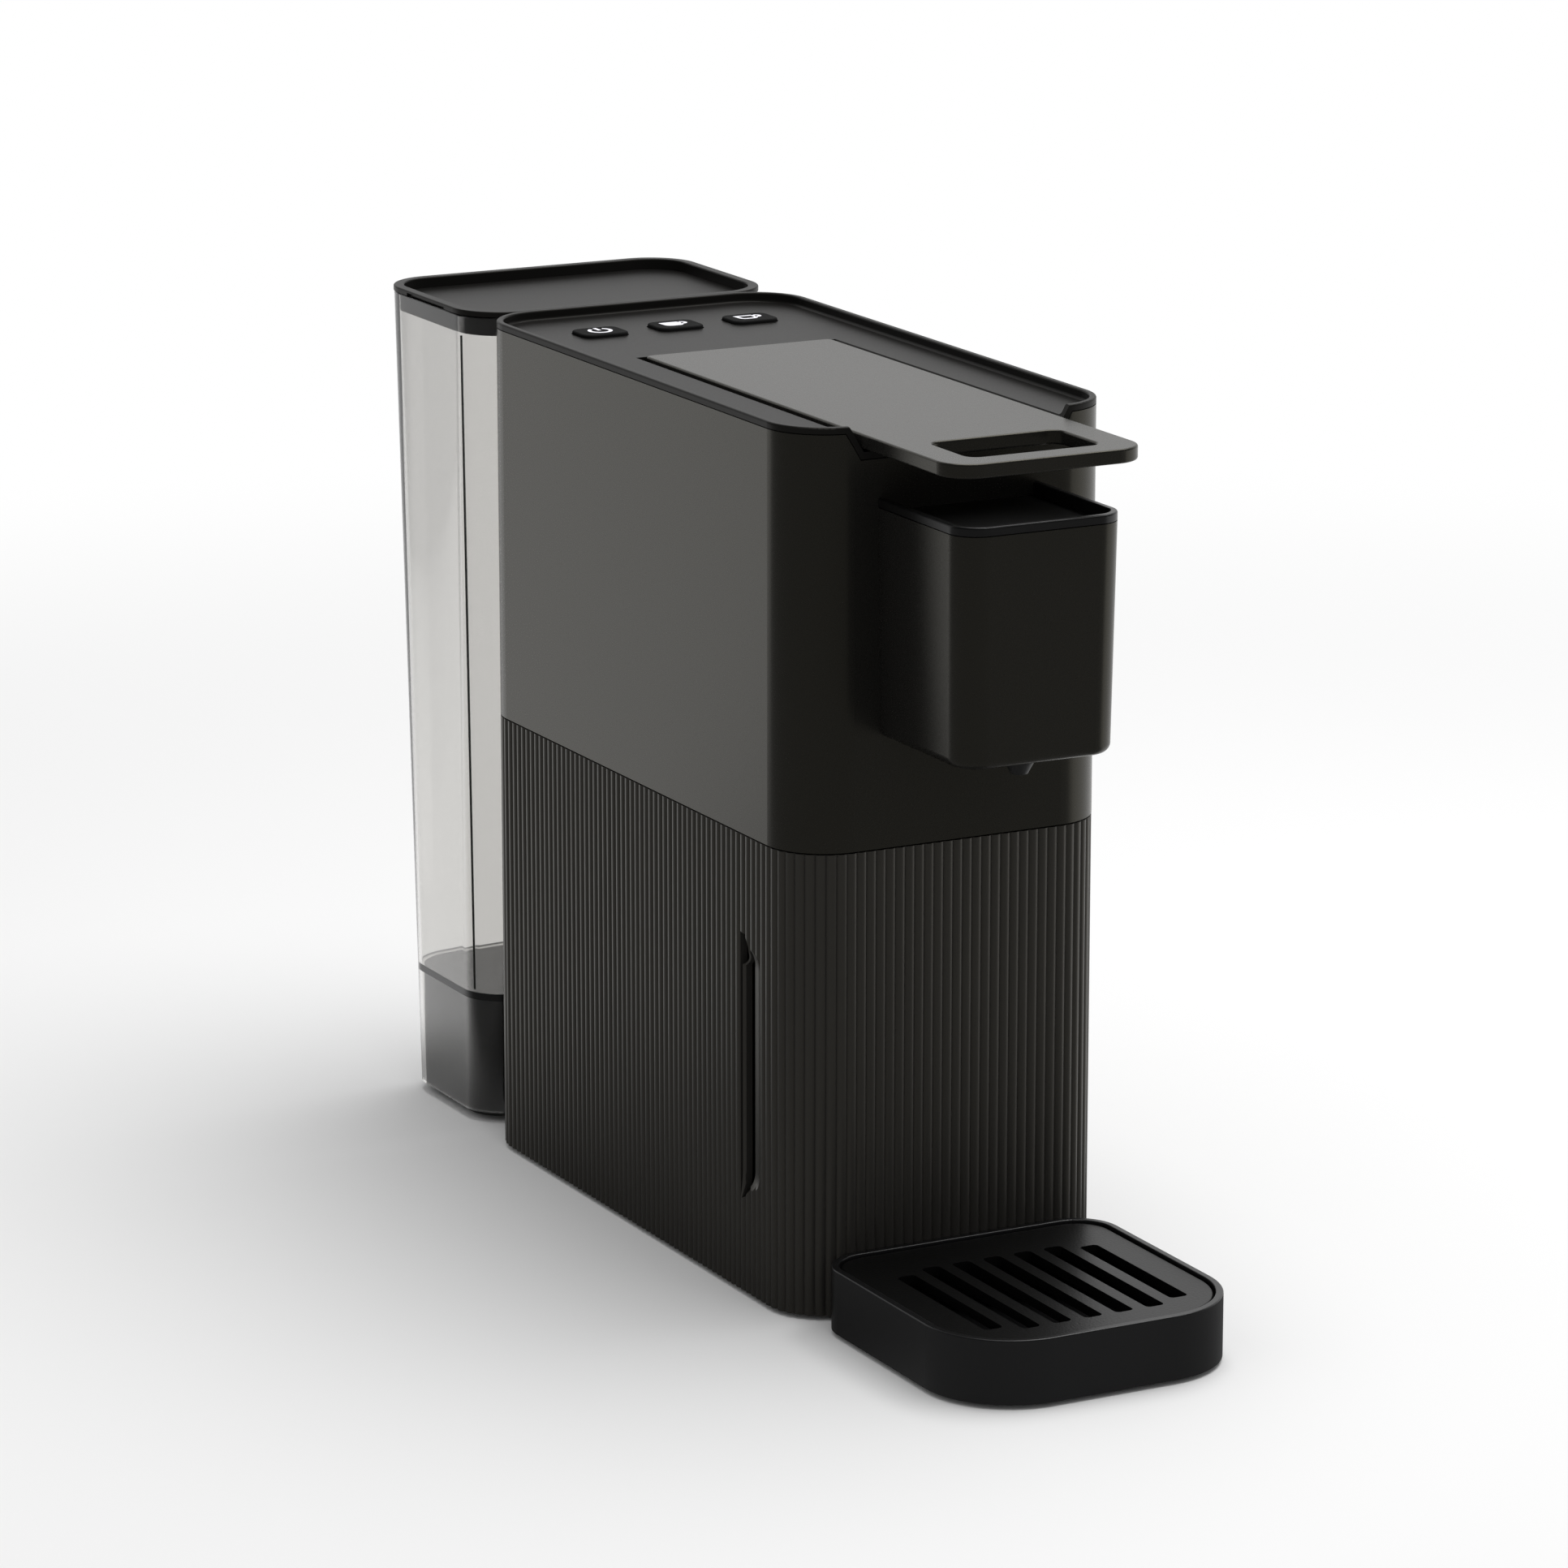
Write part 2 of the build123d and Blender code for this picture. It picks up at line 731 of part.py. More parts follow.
# Draw bars: two flat bars from the cage back to slotted yokes on the crank pins
cage_front_y = cage_y - cage_length
yoke_half = crank_pin_radius + yoke_play + yoke_rim
yoke_low = hinge_z - crank_radius - crank_pin_radius - yoke_play
yoke_high = crank_z + crank_pin_radius + yoke_play
bar_length = crank_y + yoke_half - cage_front_y
yoke_height = yoke_high + yoke_rim - bar_z
with BuildPart() as draw_bars:
    for bar_x in (-bar_outer, bar_inner):
        with BuildSketch(sideways(bar_x)):
            with Locations((cage_front_y + bar_length / 2, bar_z + bar_height / 2)):
                Rectangle(bar_length, bar_height)
            with Locations((crank_y, bar_z + yoke_height / 2)):
                Rectangle(2 * yoke_half, yoke_height)
            with Locations((crank_y, (yoke_low + yoke_high) / 2)):
                SlotOverall(
                    yoke_high - yoke_low, 2 * (crank_pin_radius + yoke_play), rotation=90, mode=Mode.SUBTRACT
                )
        extrude(amount=bar_thickness)
draw_bars.part.label = "draw_bars"
export_step(draw_bars.part, "parts/draw_bars.step")

# Capsule cage: a cup that opens to the rear, with pads to the bars and a coffee outlet in front
with BuildPart() as capsule_cage:
    with BuildSketch(upright(cage_y)):
        with Locations((0, brew_z)):
            Circle(cage_radius)
        for pad_sign in (-1, 1):
            with Locations((pad_sign * bar_inner / 2, bar_z + bar_height / 2)):
                Rectangle(bar_inner, bar_height - 2 * seat_gap)
    extrude(amount=cage_length)
    with BuildSketch(upright(cage_front_y)):
        with Locations((0, brew_z - outlet_drop)):
            Circle(outlet_radius)
    extrude(amount=outlet_length)
    with BuildSketch(upright(cage_y)):
        with Locations((0, brew_z)):
            Circle(cage_bore)
    extrude(amount=cage_length - cage_floor, mode=Mode.SUBTRACT)
    with BuildSketch(upright(cage_y)):
        with Locations((0, brew_z - outlet_drop)):
            Circle(outlet_bore)
    extrude(amount=cage_length + outlet_length, mode=Mode.SUBTRACT)
capsule_cage.part.label = "capsule_cage"
export_step(capsule_cage.part, "parts/capsule_cage.step")

# Brew frame: two rails that carry the bars, on legs that stand on the shelf, joined by a cross plate
leg_y = front_y + leg_back
rail_tip_y = front_y - rail_front
with BuildPart() as brew_frame:
    for rail_x in (-bar_outer, bar_inner):
        with BuildSketch(sideways(rail_x)):
            with BuildLine():
                Polyline(
                    (rail_tip_y, rail_z),
                    (leg_y - leg_depth, rail_z),
                    (leg_y - leg_depth, shelf_top_z),
                    (leg_y, shelf_top_z),
                    (leg_y, rail_top_z),
                    (rail_tip_y, rail_top_z),
                    close=True,
                )
            make_face()
        extrude(amount=bar_thickness)
    for flange_x in (-bar_outer - leg_foot / 2, bar_outer + leg_foot / 2):
        with BuildSketch(level(shelf_top_z, leg_y - leg_depth / 2)):
            with Locations((flange_x, 0)):
                Rectangle(leg_foot, leg_depth - 2 * foot_plate)
        extrude(amount=foot_plate)
    with BuildSketch(upright(cross_y)):
        with Locations((0, rail_top_z - rail_height / 2)):
            Rectangle(2 * bar_inner, cross_height)
        with Locations((0, brew_z)):
            Circle(port_radius + fit_gap, mode=Mode.SUBTRACT)
    extrude(amount=-cross_thickness)
brew_frame.part.label = "brew_frame"
export_step(brew_frame.part, "parts/brew_frame.step")

# Injection plate: closes the cage from behind and brings in the hot water
seal_y = plate_y - seat_gap
groove_depth = seal_thickness - seat_gap
with BuildPart() as injection_plate:
    with BuildSketch(upright(plate_y)):
        with Locations((0, brew_z)):
            Circle(plate_radius)
    extrude(amount=-plate_thickness)
    with BuildSketch(upright(plate_y)):
        with Locations((0, brew_z)):
            Circle(boss_radius)
    extrude(amount=-(cross_y - plate_y))
    with BuildSketch(upright(plate_y)):
        with Locations((0, brew_z)):
            Circle(port_radius)
    extrude(amount=-(cross_y - plate_y + port_length))
    with BuildSketch(upright(plate_y)):
        with Locations((0, brew_z)):
            Circle(seal_outer + fit_gap)
            Circle(seal_inner - fit_gap, mode=Mode.SUBTRACT)
    extrude(amount=-groove_depth, mode=Mode.SUBTRACT)
    with BuildSketch(upright(plate_y)):
        with Locations((0, brew_z)):
            Circle(port_bore)
    extrude(amount=-(cross_y - plate_y + port_length), mode=Mode.SUBTRACT)
injection_plate.part.label = "injection_plate"
export_step(injection_plate.part, "parts/injection_plate.step")

# Rubber ring that seals the capsule's edge
with BuildPart() as brew_seal:
    with BuildSketch(upright(seal_y)):
        with Locations((0, brew_z)):
            Circle(seal_outer)
            Circle(seal_inner, mode=Mode.SUBTRACT)
    extrude(amount=-seal_thickness)
brew_seal.part.label = "brew_seal"
export_step(brew_seal.part, "parts/brew_seal.step")

# Brew head shell: a tapered box, open at the top and at the body
nozzle_y = front_y - nozzle_back
head_floor_z = head_bottom_z + head_wall
funnel_z = head_floor_z + flange_lift
with BuildPart() as brew_head_shell:
    with BuildSketch(level(head_bottom_z, front_y)):
        add(head_foot)
    with BuildSketch(level(cap_z - cap_seam, front_y)):
        add(head_rim)
    loft(ruled=True)
    foot_edges = brew_head_shell.edges().group_by(Axis.Z)[0]
    fillet(foot_edges.filter_by_position(Axis.Y, front_y - head_reach, front_y - fit_gap), head_foot_round)
    with BuildSketch(level(head_floor_z, front_y)):
        add(head_foot_inner)
    with BuildSketch(level(cap_z - cap_seam, front_y)):
        add(head_rim_inner)
    loft(ruled=True, mode=Mode.SUBTRACT)
    with BuildSketch(level(head_bottom_z, nozzle_y)):
        Circle(nozzle_radius + fit_gap)
    extrude(amount=head_wall, mode=Mode.SUBTRACT)
brew_head_shell.part.label = "brew_head_shell"
export_step(brew_head_shell.part, "parts/brew_head_shell.step")

# Brew head cap: a shallow tray with a plug that sits in the shell
with BuildPart() as brew_head_cap:
    with BuildSketch(level(cap_z, front_y)):
        add(head_rim)
    extrude(amount=cap_band)
    with BuildSketch(level(cap_z, front_y)):
        add(cap_plug)
    extrude(amount=cap_band - cap_drop - cap_floor)
    with BuildSketch(level(head_top_z, front_y)):
        add(cap_recess)
    extrude(amount=-cap_drop, mode=Mode.SUBTRACT)
    rim_edges = brew_head_cap.edges().group_by(Axis.Z)[-1]
    fillet(rim_edges.filter_by_position(Axis.Y, front_y - head_reach, front_y - fit_gap), rim_round)
brew_head_cap.part.label = "brew_head_cap"
export_step(brew_head_cap.part, "parts/brew_head_cap.step")

# Spout nozzle through the floor of the brew head
with BuildPart() as spout_nozzle:
    with BuildSketch(level(head_floor_z, nozzle_y)):
        Circle(nozzle_flange)
    extrude(amount=flange_lift)
    with BuildSketch(level(head_floor_z, nozzle_y)):
        Circle(nozzle_radius)
    extrude(amount=-(nozzle_drop - nozzle_cone + head_wall))
    with BuildSketch(level(head_bottom_z - nozzle_drop + nozzle_cone, nozzle_y)):
        Circle(nozzle_radius)
    with BuildSketch(level(head_bottom_z - nozzle_drop, nozzle_y)):
        Circle(nozzle_tip_radius)
    loft()
    with BuildSketch(level(head_bottom_z - nozzle_drop, nozzle_y)):
        Circle(nozzle_bore)
    extrude(amount=nozzle_drop + head_wall + flange_lift, mode=Mode.SUBTRACT)
spout_nozzle.part.label = "spout_nozzle"
export_step(spout_nozzle.part, "parts/spout_nozzle.step")

# Coffee funnel: a trough from under the cage's outlet to the nozzle
funnel_length = funnel_front + funnel_back
funnel_mid_y = front_y + (funnel_back - funnel_front) / 2
with BuildPart() as coffee_funnel:
    with BuildSketch(level(funnel_z, funnel_mid_y)):
        RectangleRounded(funnel_width, funnel_length, funnel_wall * 2)
    extrude(amount=funnel_depth)
    with BuildSketch(level(funnel_z + funnel_wall, funnel_mid_y)):
        RectangleRounded(funnel_width - 2 * funnel_wall, funnel_length - 2 * funnel_wall, funnel_wall)
    extrude(amount=funnel_depth, mode=Mode.SUBTRACT)
    with BuildSketch(level(funnel_z, nozzle_y)):
        Circle(nozzle_bore)
    extrude(amount=funnel_wall, mode=Mode.SUBTRACT)
coffee_funnel.part.label = "coffee_funnel"
export_step(coffee_funnel.part, "parts/coffee_funnel.step")

# Chassis shelf on the lip of the upper shell, with a hole for the pressure hose
with BuildPart() as chassis_shelf:
    with BuildSketch(level(shelf_z, body_mid_y)):
        body_outline(wall + seat_gap)
    extrude(amount=shelf_thickness)
    split(bisect_by=Plane((0, front_y + shelf_front, 0), z_dir=(0, 1, 0)), keep=Keep.TOP)
    with BuildSketch(level(shelf_z, front_y + pump_back)):
        with Locations((-pump_side, 0)):
            Circle(hose_hole)
    extrude(amount=shelf_thickness, mode=Mode.SUBTRACT)
chassis_shelf.part.label = "chassis_shelf"
export_step(chassis_shelf.part, "parts/chassis_shelf.step")

# Bulkhead behind the capsule bin, from the base plate up to the shelf
bulkhead_y = front_y + bulkhead_back
bulkhead_face_y = bulkhead_y + bulkhead_thickness
bulkhead_width = body_width - 2 * (lip_inset + lip_wall + bulkhead_gap)
with BuildPart() as bulkhead:
    with BuildSketch(level(base_top_z, bulkhead_y + bulkhead_thickness / 2)):
        Rectangle(bulkhead_width, bulkhead_thickness)
    extrude(amount=shelf_z - base_top_z)
    with BuildSketch(level(base_top_z, screw_y)):
        Rectangle(bulkhead_width, bulkhead_flange)
    extrude(amount=flange_height)
    with BuildSketch(level(base_top_z, screw_y)):
        with GridLocations(screw_spacing, 0, 2, 1):
            Circle(screw_radius)
    extrude(amount=flange_height, mode=Mode.SUBTRACT)
bulkhead.part.label = "bulkhead"
export_step(bulkhead.part, "parts/bulkhead.step")

# Thermoblock that heats the water, with its inlet behind and its outlet in front
block_width = body_width - 2 * block_side_gap
block_y = front_y + block_back
block_mid_y = block_y + block_depth / 2
block_z = shelf_top_z + block_lift
block_port_z = block_z + block_port_height
with BuildPart() as thermoblock:
    with BuildSketch(level(block_z, block_mid_y)):
        RectangleRounded(block_width, block_depth, block_round)
    extrude(amount=block_height)
    fillet(thermoblock.edges().group_by(Axis.Z)[-1], block_round / 2)
    with BuildSketch(upright(block_y + block_depth)):
        with Locations((-pump_side, block_port_z)):
            Circle(nipple_radius)
    extrude(amount=-nipple_length)
    with BuildSketch(upright(block_y)):
        with Locations((0, block_port_z)):
            Circle(nipple_radius)
    extrude(amount=nipple_length)
thermoblock.part.label = "thermoblock"
export_step(thermoblock.part, "parts/thermoblock.step")

# Sheet clamps that stand the thermoblock off the shelf
with BuildPart() as thermoblock_clamps:
    with BuildSketch(level(shelf_top_z, block_mid_y)):
        with GridLocations(block_width - clamp_width, block_depth - clamp_width, 2, 2):
            Rectangle(clamp_width, clamp_width)
            Rectangle(clamp_width - 2 * clamp_thickness, clamp_width, mode=Mode.SUBTRACT)
    extrude(amount=block_lift - clamp_thickness)
    with BuildSketch(level(block_z - clamp_thickness, block_mid_y)):
        with GridLocations(block_width - clamp_width, block_depth - clamp_width, 2, 2):
            Rectangle(clamp_width, clamp_width)
    extrude(amount=clamp_thickness)
thermoblock_clamps.part.label = "thermoblock_clamps"
export_step(thermoblock_clamps.part, "parts/thermoblock_clamps.step")

# Vibration pump, upright in the rear bay
pump_y = front_y + pump_back
pump_z = base_z + pump_low
pump_top_z = pump_z + pump_length
with BuildPart() as pump:
    with BuildSketch(level(pump_z, pump_y)):
        with Locations((-pump_side, 0)):
            Circle(pump_radius)
    extrude(amount=pump_length)
    with BuildSketch(level(pump_z + (pump_length - coil_height) / 2, pump_y)):
        with Locations((-pump_side, 0)):
            RectangleRounded(coil_width, coil_width, block_round)
    extrude(amount=coil_height)
    with BuildSketch(level(pump_z - neck_length, pump_y)):
        with Locations((-pump_side, 0)):
            Circle(neck_radius)
    extrude(amount=pump_length + 2 * neck_length)
    with BuildSketch(level(pump_z - neck_length - nipple_length, pump_y)):
        with Locations((-pump_side, 0)):
            Circle(nipple_radius)
    extrude(amount=pump_length + 2 * neck_length + 2 * nipple_length)
pump.part.label = "pump"
export_step(pump.part, "parts/pump.step")

# Rubber mounts around the pump's two necks
mount_low_z = pump_z - mount_height
with BuildPart() as pump_mounts:
    for mount_z in (mount_low_z, pump_top_z):
        with BuildSketch(level(mount_z, pump_y)):
            with Locations((-pump_side, 0)):
                Circle(mount_radius)
                Circle(neck_radius + fit_gap, mode=Mode.SUBTRACT)
        extrude(amount=mount_height)
pump_mounts.part.label = "pump_mounts"
export_step(pump_mounts.part, "parts/pump_mounts.step")

# Bracket on the bulkhead that holds both mounts from outside
bracket_low_z = mount_low_z + (mount_height - bracket_thickness) / 2
bracket_high_z = pump_top_z + (mount_height - bracket_thickness) / 2
bracket_reach = pump_y + mount_radius / 2 - bulkhead_face_y
with BuildPart() as pump_bracket:
    with BuildSketch(level(bracket_low_z, bulkhead_face_y + bracket_thickness / 2)):
        with Locations((-pump_side, 0)):
            Rectangle(bracket_width, bracket_thickness)
    extrude(amount=bracket_high_z + bracket_thickness - bracket_low_z)
    for arm_z in (bracket_low_z, bracket_high_z):
        with BuildSketch(level(arm_z, bulkhead_face_y + bracket_reach / 2)):
            with Locations((-pump_side, 0)):
                Rectangle(bracket_width, bracket_reach)
            with Locations((-pump_side, pump_y - bulkhead_face_y - bracket_reach / 2)):
                Circle(mount_radius + fit_gap, mode=Mode.SUBTRACT)
        extrude(amount=bracket_thickness)
pump_bracket.part.label = "pump_bracket"
export_step(pump_bracket.part, "parts/pump_bracket.step")

# Flow meter on the base plate, between the tank and the pump
meter_port_z = base_z + socket_port_height
with BuildPart() as flow_meter:
    with BuildSketch(level(base_top_z, pump_y)):
        with Locations((meter_side, 0)):
            Circle(meter_radius)
    extrude(amount=meter_height)
    fillet(flow_meter.edges().group_by(Axis.Z)[-1], block_round / 2)
    with BuildSketch(upright(pump_y)):
        with Locations((meter_side, meter_port_z)):
            Circle(nipple_radius)
    extrude(amount=-(meter_radius + nipple_length / 2))
    with BuildSketch(sideways(meter_side)):
        with Locations((pump_y, meter_port_z)):
            Circle(nipple_radius)
    extrude(amount=-(meter_radius + nipple_length / 2))
flow_meter.part.label = "flow_meter"
export_step(flow_meter.part, "parts/flow_meter.step")


# A hose along straight runs joined by round bends, as a solid with a bore
def hose(points, bend):
    with BuildPart() as tube:
        with BuildLine() as route:
            if len(points) > 2:
                FilletPolyline(*points, radius=bend)
            else:
                Line(*points)
        with BuildSketch(Plane(origin=route.line @ 0, z_dir=route.line % 0)):
            Circle(hose_radius)
            Circle(hose_bore, mode=Mode.SUBTRACT)
        sweep(path=route.line)
    return tube


# Suction hose from the valve socket to the flow meter
socket_outer_y = valve_y - socket_radius
suction_start = (meter_side, socket_outer_y - socket_port_length, meter_port_z)
suction_end = (meter_side, pump_y + meter_radius + nipple_length / 2, meter_port_z)
suction_hose = hose([suction_start, suction_end], hose_bend)
suction_hose.part.label = "suction_hose"
export_step(suction_hose.part, "parts/suction_hose.step")

# Pump hose from the flow meter to the foot of the pump
pump_hose_start = (meter_side - meter_radius - nipple_length / 2, pump_y, meter_port_z)
pump_hose_corner = (-pump_side, pump_y, meter_port_z)
pump_hose_end = (-pump_side, pump_y, pump_z - neck_length - nipple_length)
pump_hose = hose([pump_hose_start, pump_hose_corner, pump_hose_end], hose_bend)
pump_hose.part.label = "pump_hose"
export_step(pump_hose.part, "parts/pump_hose.step")

# Pressure hose from the top of the pump up through the shelf to the thermoblock
pressure_start = (-pump_side, pump_y, pump_top_z + neck_length + nipple_length)
pressure_corner = (-pump_side, pump_y, block_port_z)
pressure_end = (-pump_side, block_y + block_depth + nipple_length, block_port_z)
pressure_hose = hose([pressure_start, pressure_corner, pressure_end], hose_bend)
pressure_hose.part.label = "pressure_hose"
export_step(pressure_hose.part, "parts/pressure_hose.step")

# Brew hose from the thermoblock up to the injection plate
brew_hose_start_y = block_y - nipple_length
brew_hose_end_y = cross_y + port_length
brew_hose_mid_y = (brew_hose_start_y + brew_hose_end_y) / 2
brew_hose_points = [
    (0, brew_hose_start_y, block_port_z),
    (0, brew_hose_mid_y, block_port_z),
    (0, brew_hose_mid_y, brew_z),
    (0, brew_hose_end_y, brew_z),
]
brew_hose = hose(brew_hose_points, hose_bend)
brew_hose.part.label = "brew_hose"
export_step(brew_hose.part, "parts/brew_hose.step")

# Control board hung from the deck's posts, under the buttons
with BuildPart() as control_board:
    with BuildSketch(level(board_top_z, button_y)):
        Rectangle(board_width, board_depth)
    extrude(amount=-board_thickness)
control_board.part.label = "control_board"
export_step(control_board.part, "parts/control_board.step")

# Tact switches on the board, one under each button
with BuildPart() as tact_switches:
    with BuildSketch(level(board_top_z, button_y)):
        with GridLocations(button_spacing, 0, 3, 1):
            Rectangle(switch_size, switch_size)
    extrude(amount=switch_height - button_travel)
    with BuildSketch(level(board_top_z, button_y)):
        with GridLocations(button_spacing, 0, 3, 1):
            Circle(stem_radius)
    extrude(amount=switch_height - seat_gap)
tact_switches.part.label = "tact_switches"
export_step(tact_switches.part, "parts/tact_switches.step")


# A push button: a rounded cap through the deck, a flange that keeps it in, and a stem to its switch
def push_button(side):
    with BuildPart() as button:
        with BuildSketch(level(deck_under_z - seat_gap - flange_thickness, button_y)):
            with Locations((side, 0)):
                RectangleRounded(button_width, button_depth, button_corner)
        extrude(amount=flange_thickness + seat_gap + deck_thickness + button_proud)
        fillet(button.edges().group_by(Axis.Z)[-1], button_round)
        with BuildSketch(level(deck_under_z - seat_gap - flange_thickness, button_y)):
            with Locations((side, 0)):
                RectangleRounded(
                    button_width + 2 * button_flange, button_depth + 2 * button_flange, button_corner
                )
        extrude(amount=flange_thickness)
        with BuildSketch(level(stem_z, button_y)):
            with Locations((side, 0)):
                Circle(stem_radius)
        extrude(amount=stem_length)
    return button


power_button = push_button(-button_spacing)
power_button.part.label = "power_button"
export_step(power_button.part, "parts/power_button.step")

large_cup_button = push_button(0)
large_cup_button.part.label = "large_cup_button"
export_step(large_cup_button.part, "parts/large_cup_button.step")

small_cup_button = push_button(button_spacing)
small_cup_button.part.label = "small_cup_button"
export_step(small_cup_button.part, "parts/small_cup_button.step")

# Power board, upright on the shelf, with a relay and a capacitor
power_board_side = body_width / 2 - power_board_inset
power_board_mid_y = front_y + power_board_back + power_board_length / 2
relay_z = shelf_top_z + power_board_height / 2
with BuildPart() as power_board:
    with BuildSketch(level(shelf_top_z, power_board_mid_y)):
        with Locations((power_board_side + board_thickness / 2, 0)):
            Rectangle(board_thickness, power_board_length)
    extrude(amount=power_board_height)
    with BuildSketch(sideways(power_board_side)):
        with Locations((power_board_mid_y - relay_length, relay_z)):
            Rectangle(relay_length, relay_height)
    extrude(amount=-relay_depth)
    with BuildSketch(sideways(power_board_side)):
        with Locations((power_board_mid_y + relay_length, relay_z)):
            Circle(relay_height / 2)
    extrude(amount=-relay_depth)
power_board.part.label = "power_board"
export_step(power_board.part, "parts/power_board.step")

# Container front: the ribbed front of the lower shell, with a scooped finger slot at the seam on each side,
# a thin bowed lip in the slot, and slots for the tray's tongues
groove_front_y = container_y - groove_width
groove_low_z = base_z + groove_low
groove_high_z = base_z + groove_high
straight_low_z = groove_low_z + groove_end
straight_high_z = groove_high_z - groove_end
past_seam_y = container_y + wall
lip_rear_y = container_y - pull_lip_gap
lip_front_y = lip_rear_y - pull_lip_width
lip_low_z = groove_low_z - pull_lip_width
lip_high_z = groove_high_z + pull_lip_width


def finger_bow(bow_y, low_z, high_z):
    with BuildSketch() as bow:
        with BuildLine():
            Line((past_seam_y, low_z), (past_seam_y, high_z))
            Line((past_seam_y, high_z), (container_y, high_z))
            TangentArc((container_y, high_z), (bow_y, straight_high_z), tangent=(-1, 0))
            Line((bow_y, straight_high_z), (bow_y, straight_low_z))
            TangentArc((bow_y, straight_low_z), (container_y, low_z), tangent=(0, -1))
            Line((container_y, low_z), (past_seam_y, low_z))
        make_face()
    return bow.sketch


with BuildPart() as container_front:
    with BuildSketch(level(base_z)):
        add(ribbed_ring.sketch)
    extrude(amount=lower_height)
    split(bisect_by=Plane((0, container_y, 0), z_dir=(0, 1, 0)), keep=Keep.BOTTOM)
    scoop_centre_x = body_width / 2 + scoop_radius - scoop_depth
    for scoop_x in (-scoop_centre_x, scoop_centre_x):
        with BuildSketch(Plane((scoop_x, groove_front_y, straight_low_z))):
            Circle(scoop_radius)
        extrude(amount=straight_high_z - straight_low_z, mode=Mode.SUBTRACT)
        for scoop_z in (straight_low_z, straight_high_z):
            with Locations((scoop_x, groove_front_y, scoop_z)):
                Sphere(scoop_radius, mode=Mode.SUBTRACT)
    with BuildSketch(sideways(-body_width / 2 - rib_depth)):
        add(finger_bow(groove_front_y, groove_low_z, groove_high_z))
        add(finger_bow(lip_front_y, lip_low_z, lip_high_z), mode=Mode.SUBTRACT)
        add(finger_bow(lip_rear_y, groove_low_z, groove_high_z))
    extrude(amount=body_width + 2 * rib_depth, mode=Mode.SUBTRACT)
    with BuildSketch(upright(front_y - rib_depth)):
        with Locations((0, base_z + tongue_low + tongue_height / 2)):
            with GridLocations(2 * tongue_side, 0, 2, 1):
                Rectangle(tongue_width + 2 * seat_gap, tongue_height + 2 * seat_gap)
    extrude(amount=-(rib_depth + ribbed_wall), mode=Mode.SUBTRACT)
container_front.part.label = "container_front"
export_step(container_front.part, "parts/container_front.step")

# Capsule bin behind the container front, open at the top
bin_inner_corner = bin_corner - bin_wall
with BuildPart() as capsule_bin:
    with BuildSketch(level(bin_z, bin_mid_y)):
        RectangleRounded(bin_width, bin_depth, bin_corner)
    extrude(amount=bin_height)
    with BuildSketch(level(bin_z + bin_wall, bin_mid_y)):
        RectangleRounded(bin_width - 2 * bin_wall, bin_depth - 2 * bin_wall, bin_inner_corner)
    extrude(amount=bin_height, mode=Mode.SUBTRACT)
capsule_bin.part.label = "capsule_bin"
export_step(capsule_bin.part, "parts/capsule_bin.step")

# Rack in the bin that keeps the capsules out of the drained water
rack_inset = bin_wall + seat_gap
rack_leg_inset = bin_corner
with BuildPart() as bin_rack:
    with BuildSketch(level(bin_z + bin_wall + rack_lift, bin_mid_y)):
        RectangleRounded(bin_width - 2 * rack_inset, bin_depth - 2 * rack_inset, bin_corner - rack_inset)
        with GridLocations(rack_slot_pitch, 0, rack_slot_count, 1):
            SlotOverall(rack_slot_length, rack_slot_width, rotation=90, mode=Mode.SUBTRACT)
    extrude(amount=rack_thickness)
bin_rack.part.label = "bin_rack"
export_step(bin_rack.part, "parts/bin_rack.step")

# Four legs under the rack
with BuildPart() as rack_legs:
    with BuildSketch(level(bin_z + bin_wall, bin_mid_y)):
        with GridLocations(bin_width - 2 * rack_leg_inset, bin_depth - 2 * rack_leg_inset, 2, 2):
            Circle(rack_leg_radius)
    extrude(amount=rack_lift)
rack_legs.part.label = "rack_legs"
export_step(rack_legs.part, "parts/rack_legs.step")

# Drip tray: a basin with a ledge for the grid and two tongues that plug into the container front
with BuildPart() as drip_tray:
    with BuildSketch(level(base_z, tray_rear_y)):
        add(tray_outer)
    extrude(amount=tray_height)
    with BuildSketch(level(ledge_z, tray_rear_y)):
        add(tray_mouth)
    extrude(amount=tray_height, mode=Mode.SUBTRACT)
    fillet(drip_tray.edges().group_by(Axis.Z)[-1], tray_round)
    with BuildSketch(level(base_z + tray_floor, tray_rear_y)):
        add(tray_basin)
    extrude(amount=tray_height, mode=Mode.SUBTRACT)
    with BuildSketch(upright(tray_rear_y)):
        with Locations((0, base_z + tongue_low + tongue_height / 2)):
            with GridLocations(2 * tongue_side, 0, 2, 1):
                Rectangle(tongue_width, tongue_height)
    extrude(amount=-tongue_length)
drip_tray.part.label = "drip_tray"
export_step(drip_tray.part, "parts/drip_tray.step")

# Rubber feet of the tray
tray_mid_y = (tray_rear_y + tray_front_y) / 2
with BuildPart() as tray_feet:
    with BuildSketch(level(0, tray_mid_y)):
        with GridLocations(tray_width - 2 * tray_foot_inset, tray_depth - 2 * tray_foot_inset, 2, 2):
            Circle(tray_foot_radius)
    extrude(amount=base_z)
tray_feet.part.label = "tray_feet"
export_step(tray_feet.part, "parts/tray_feet.step")

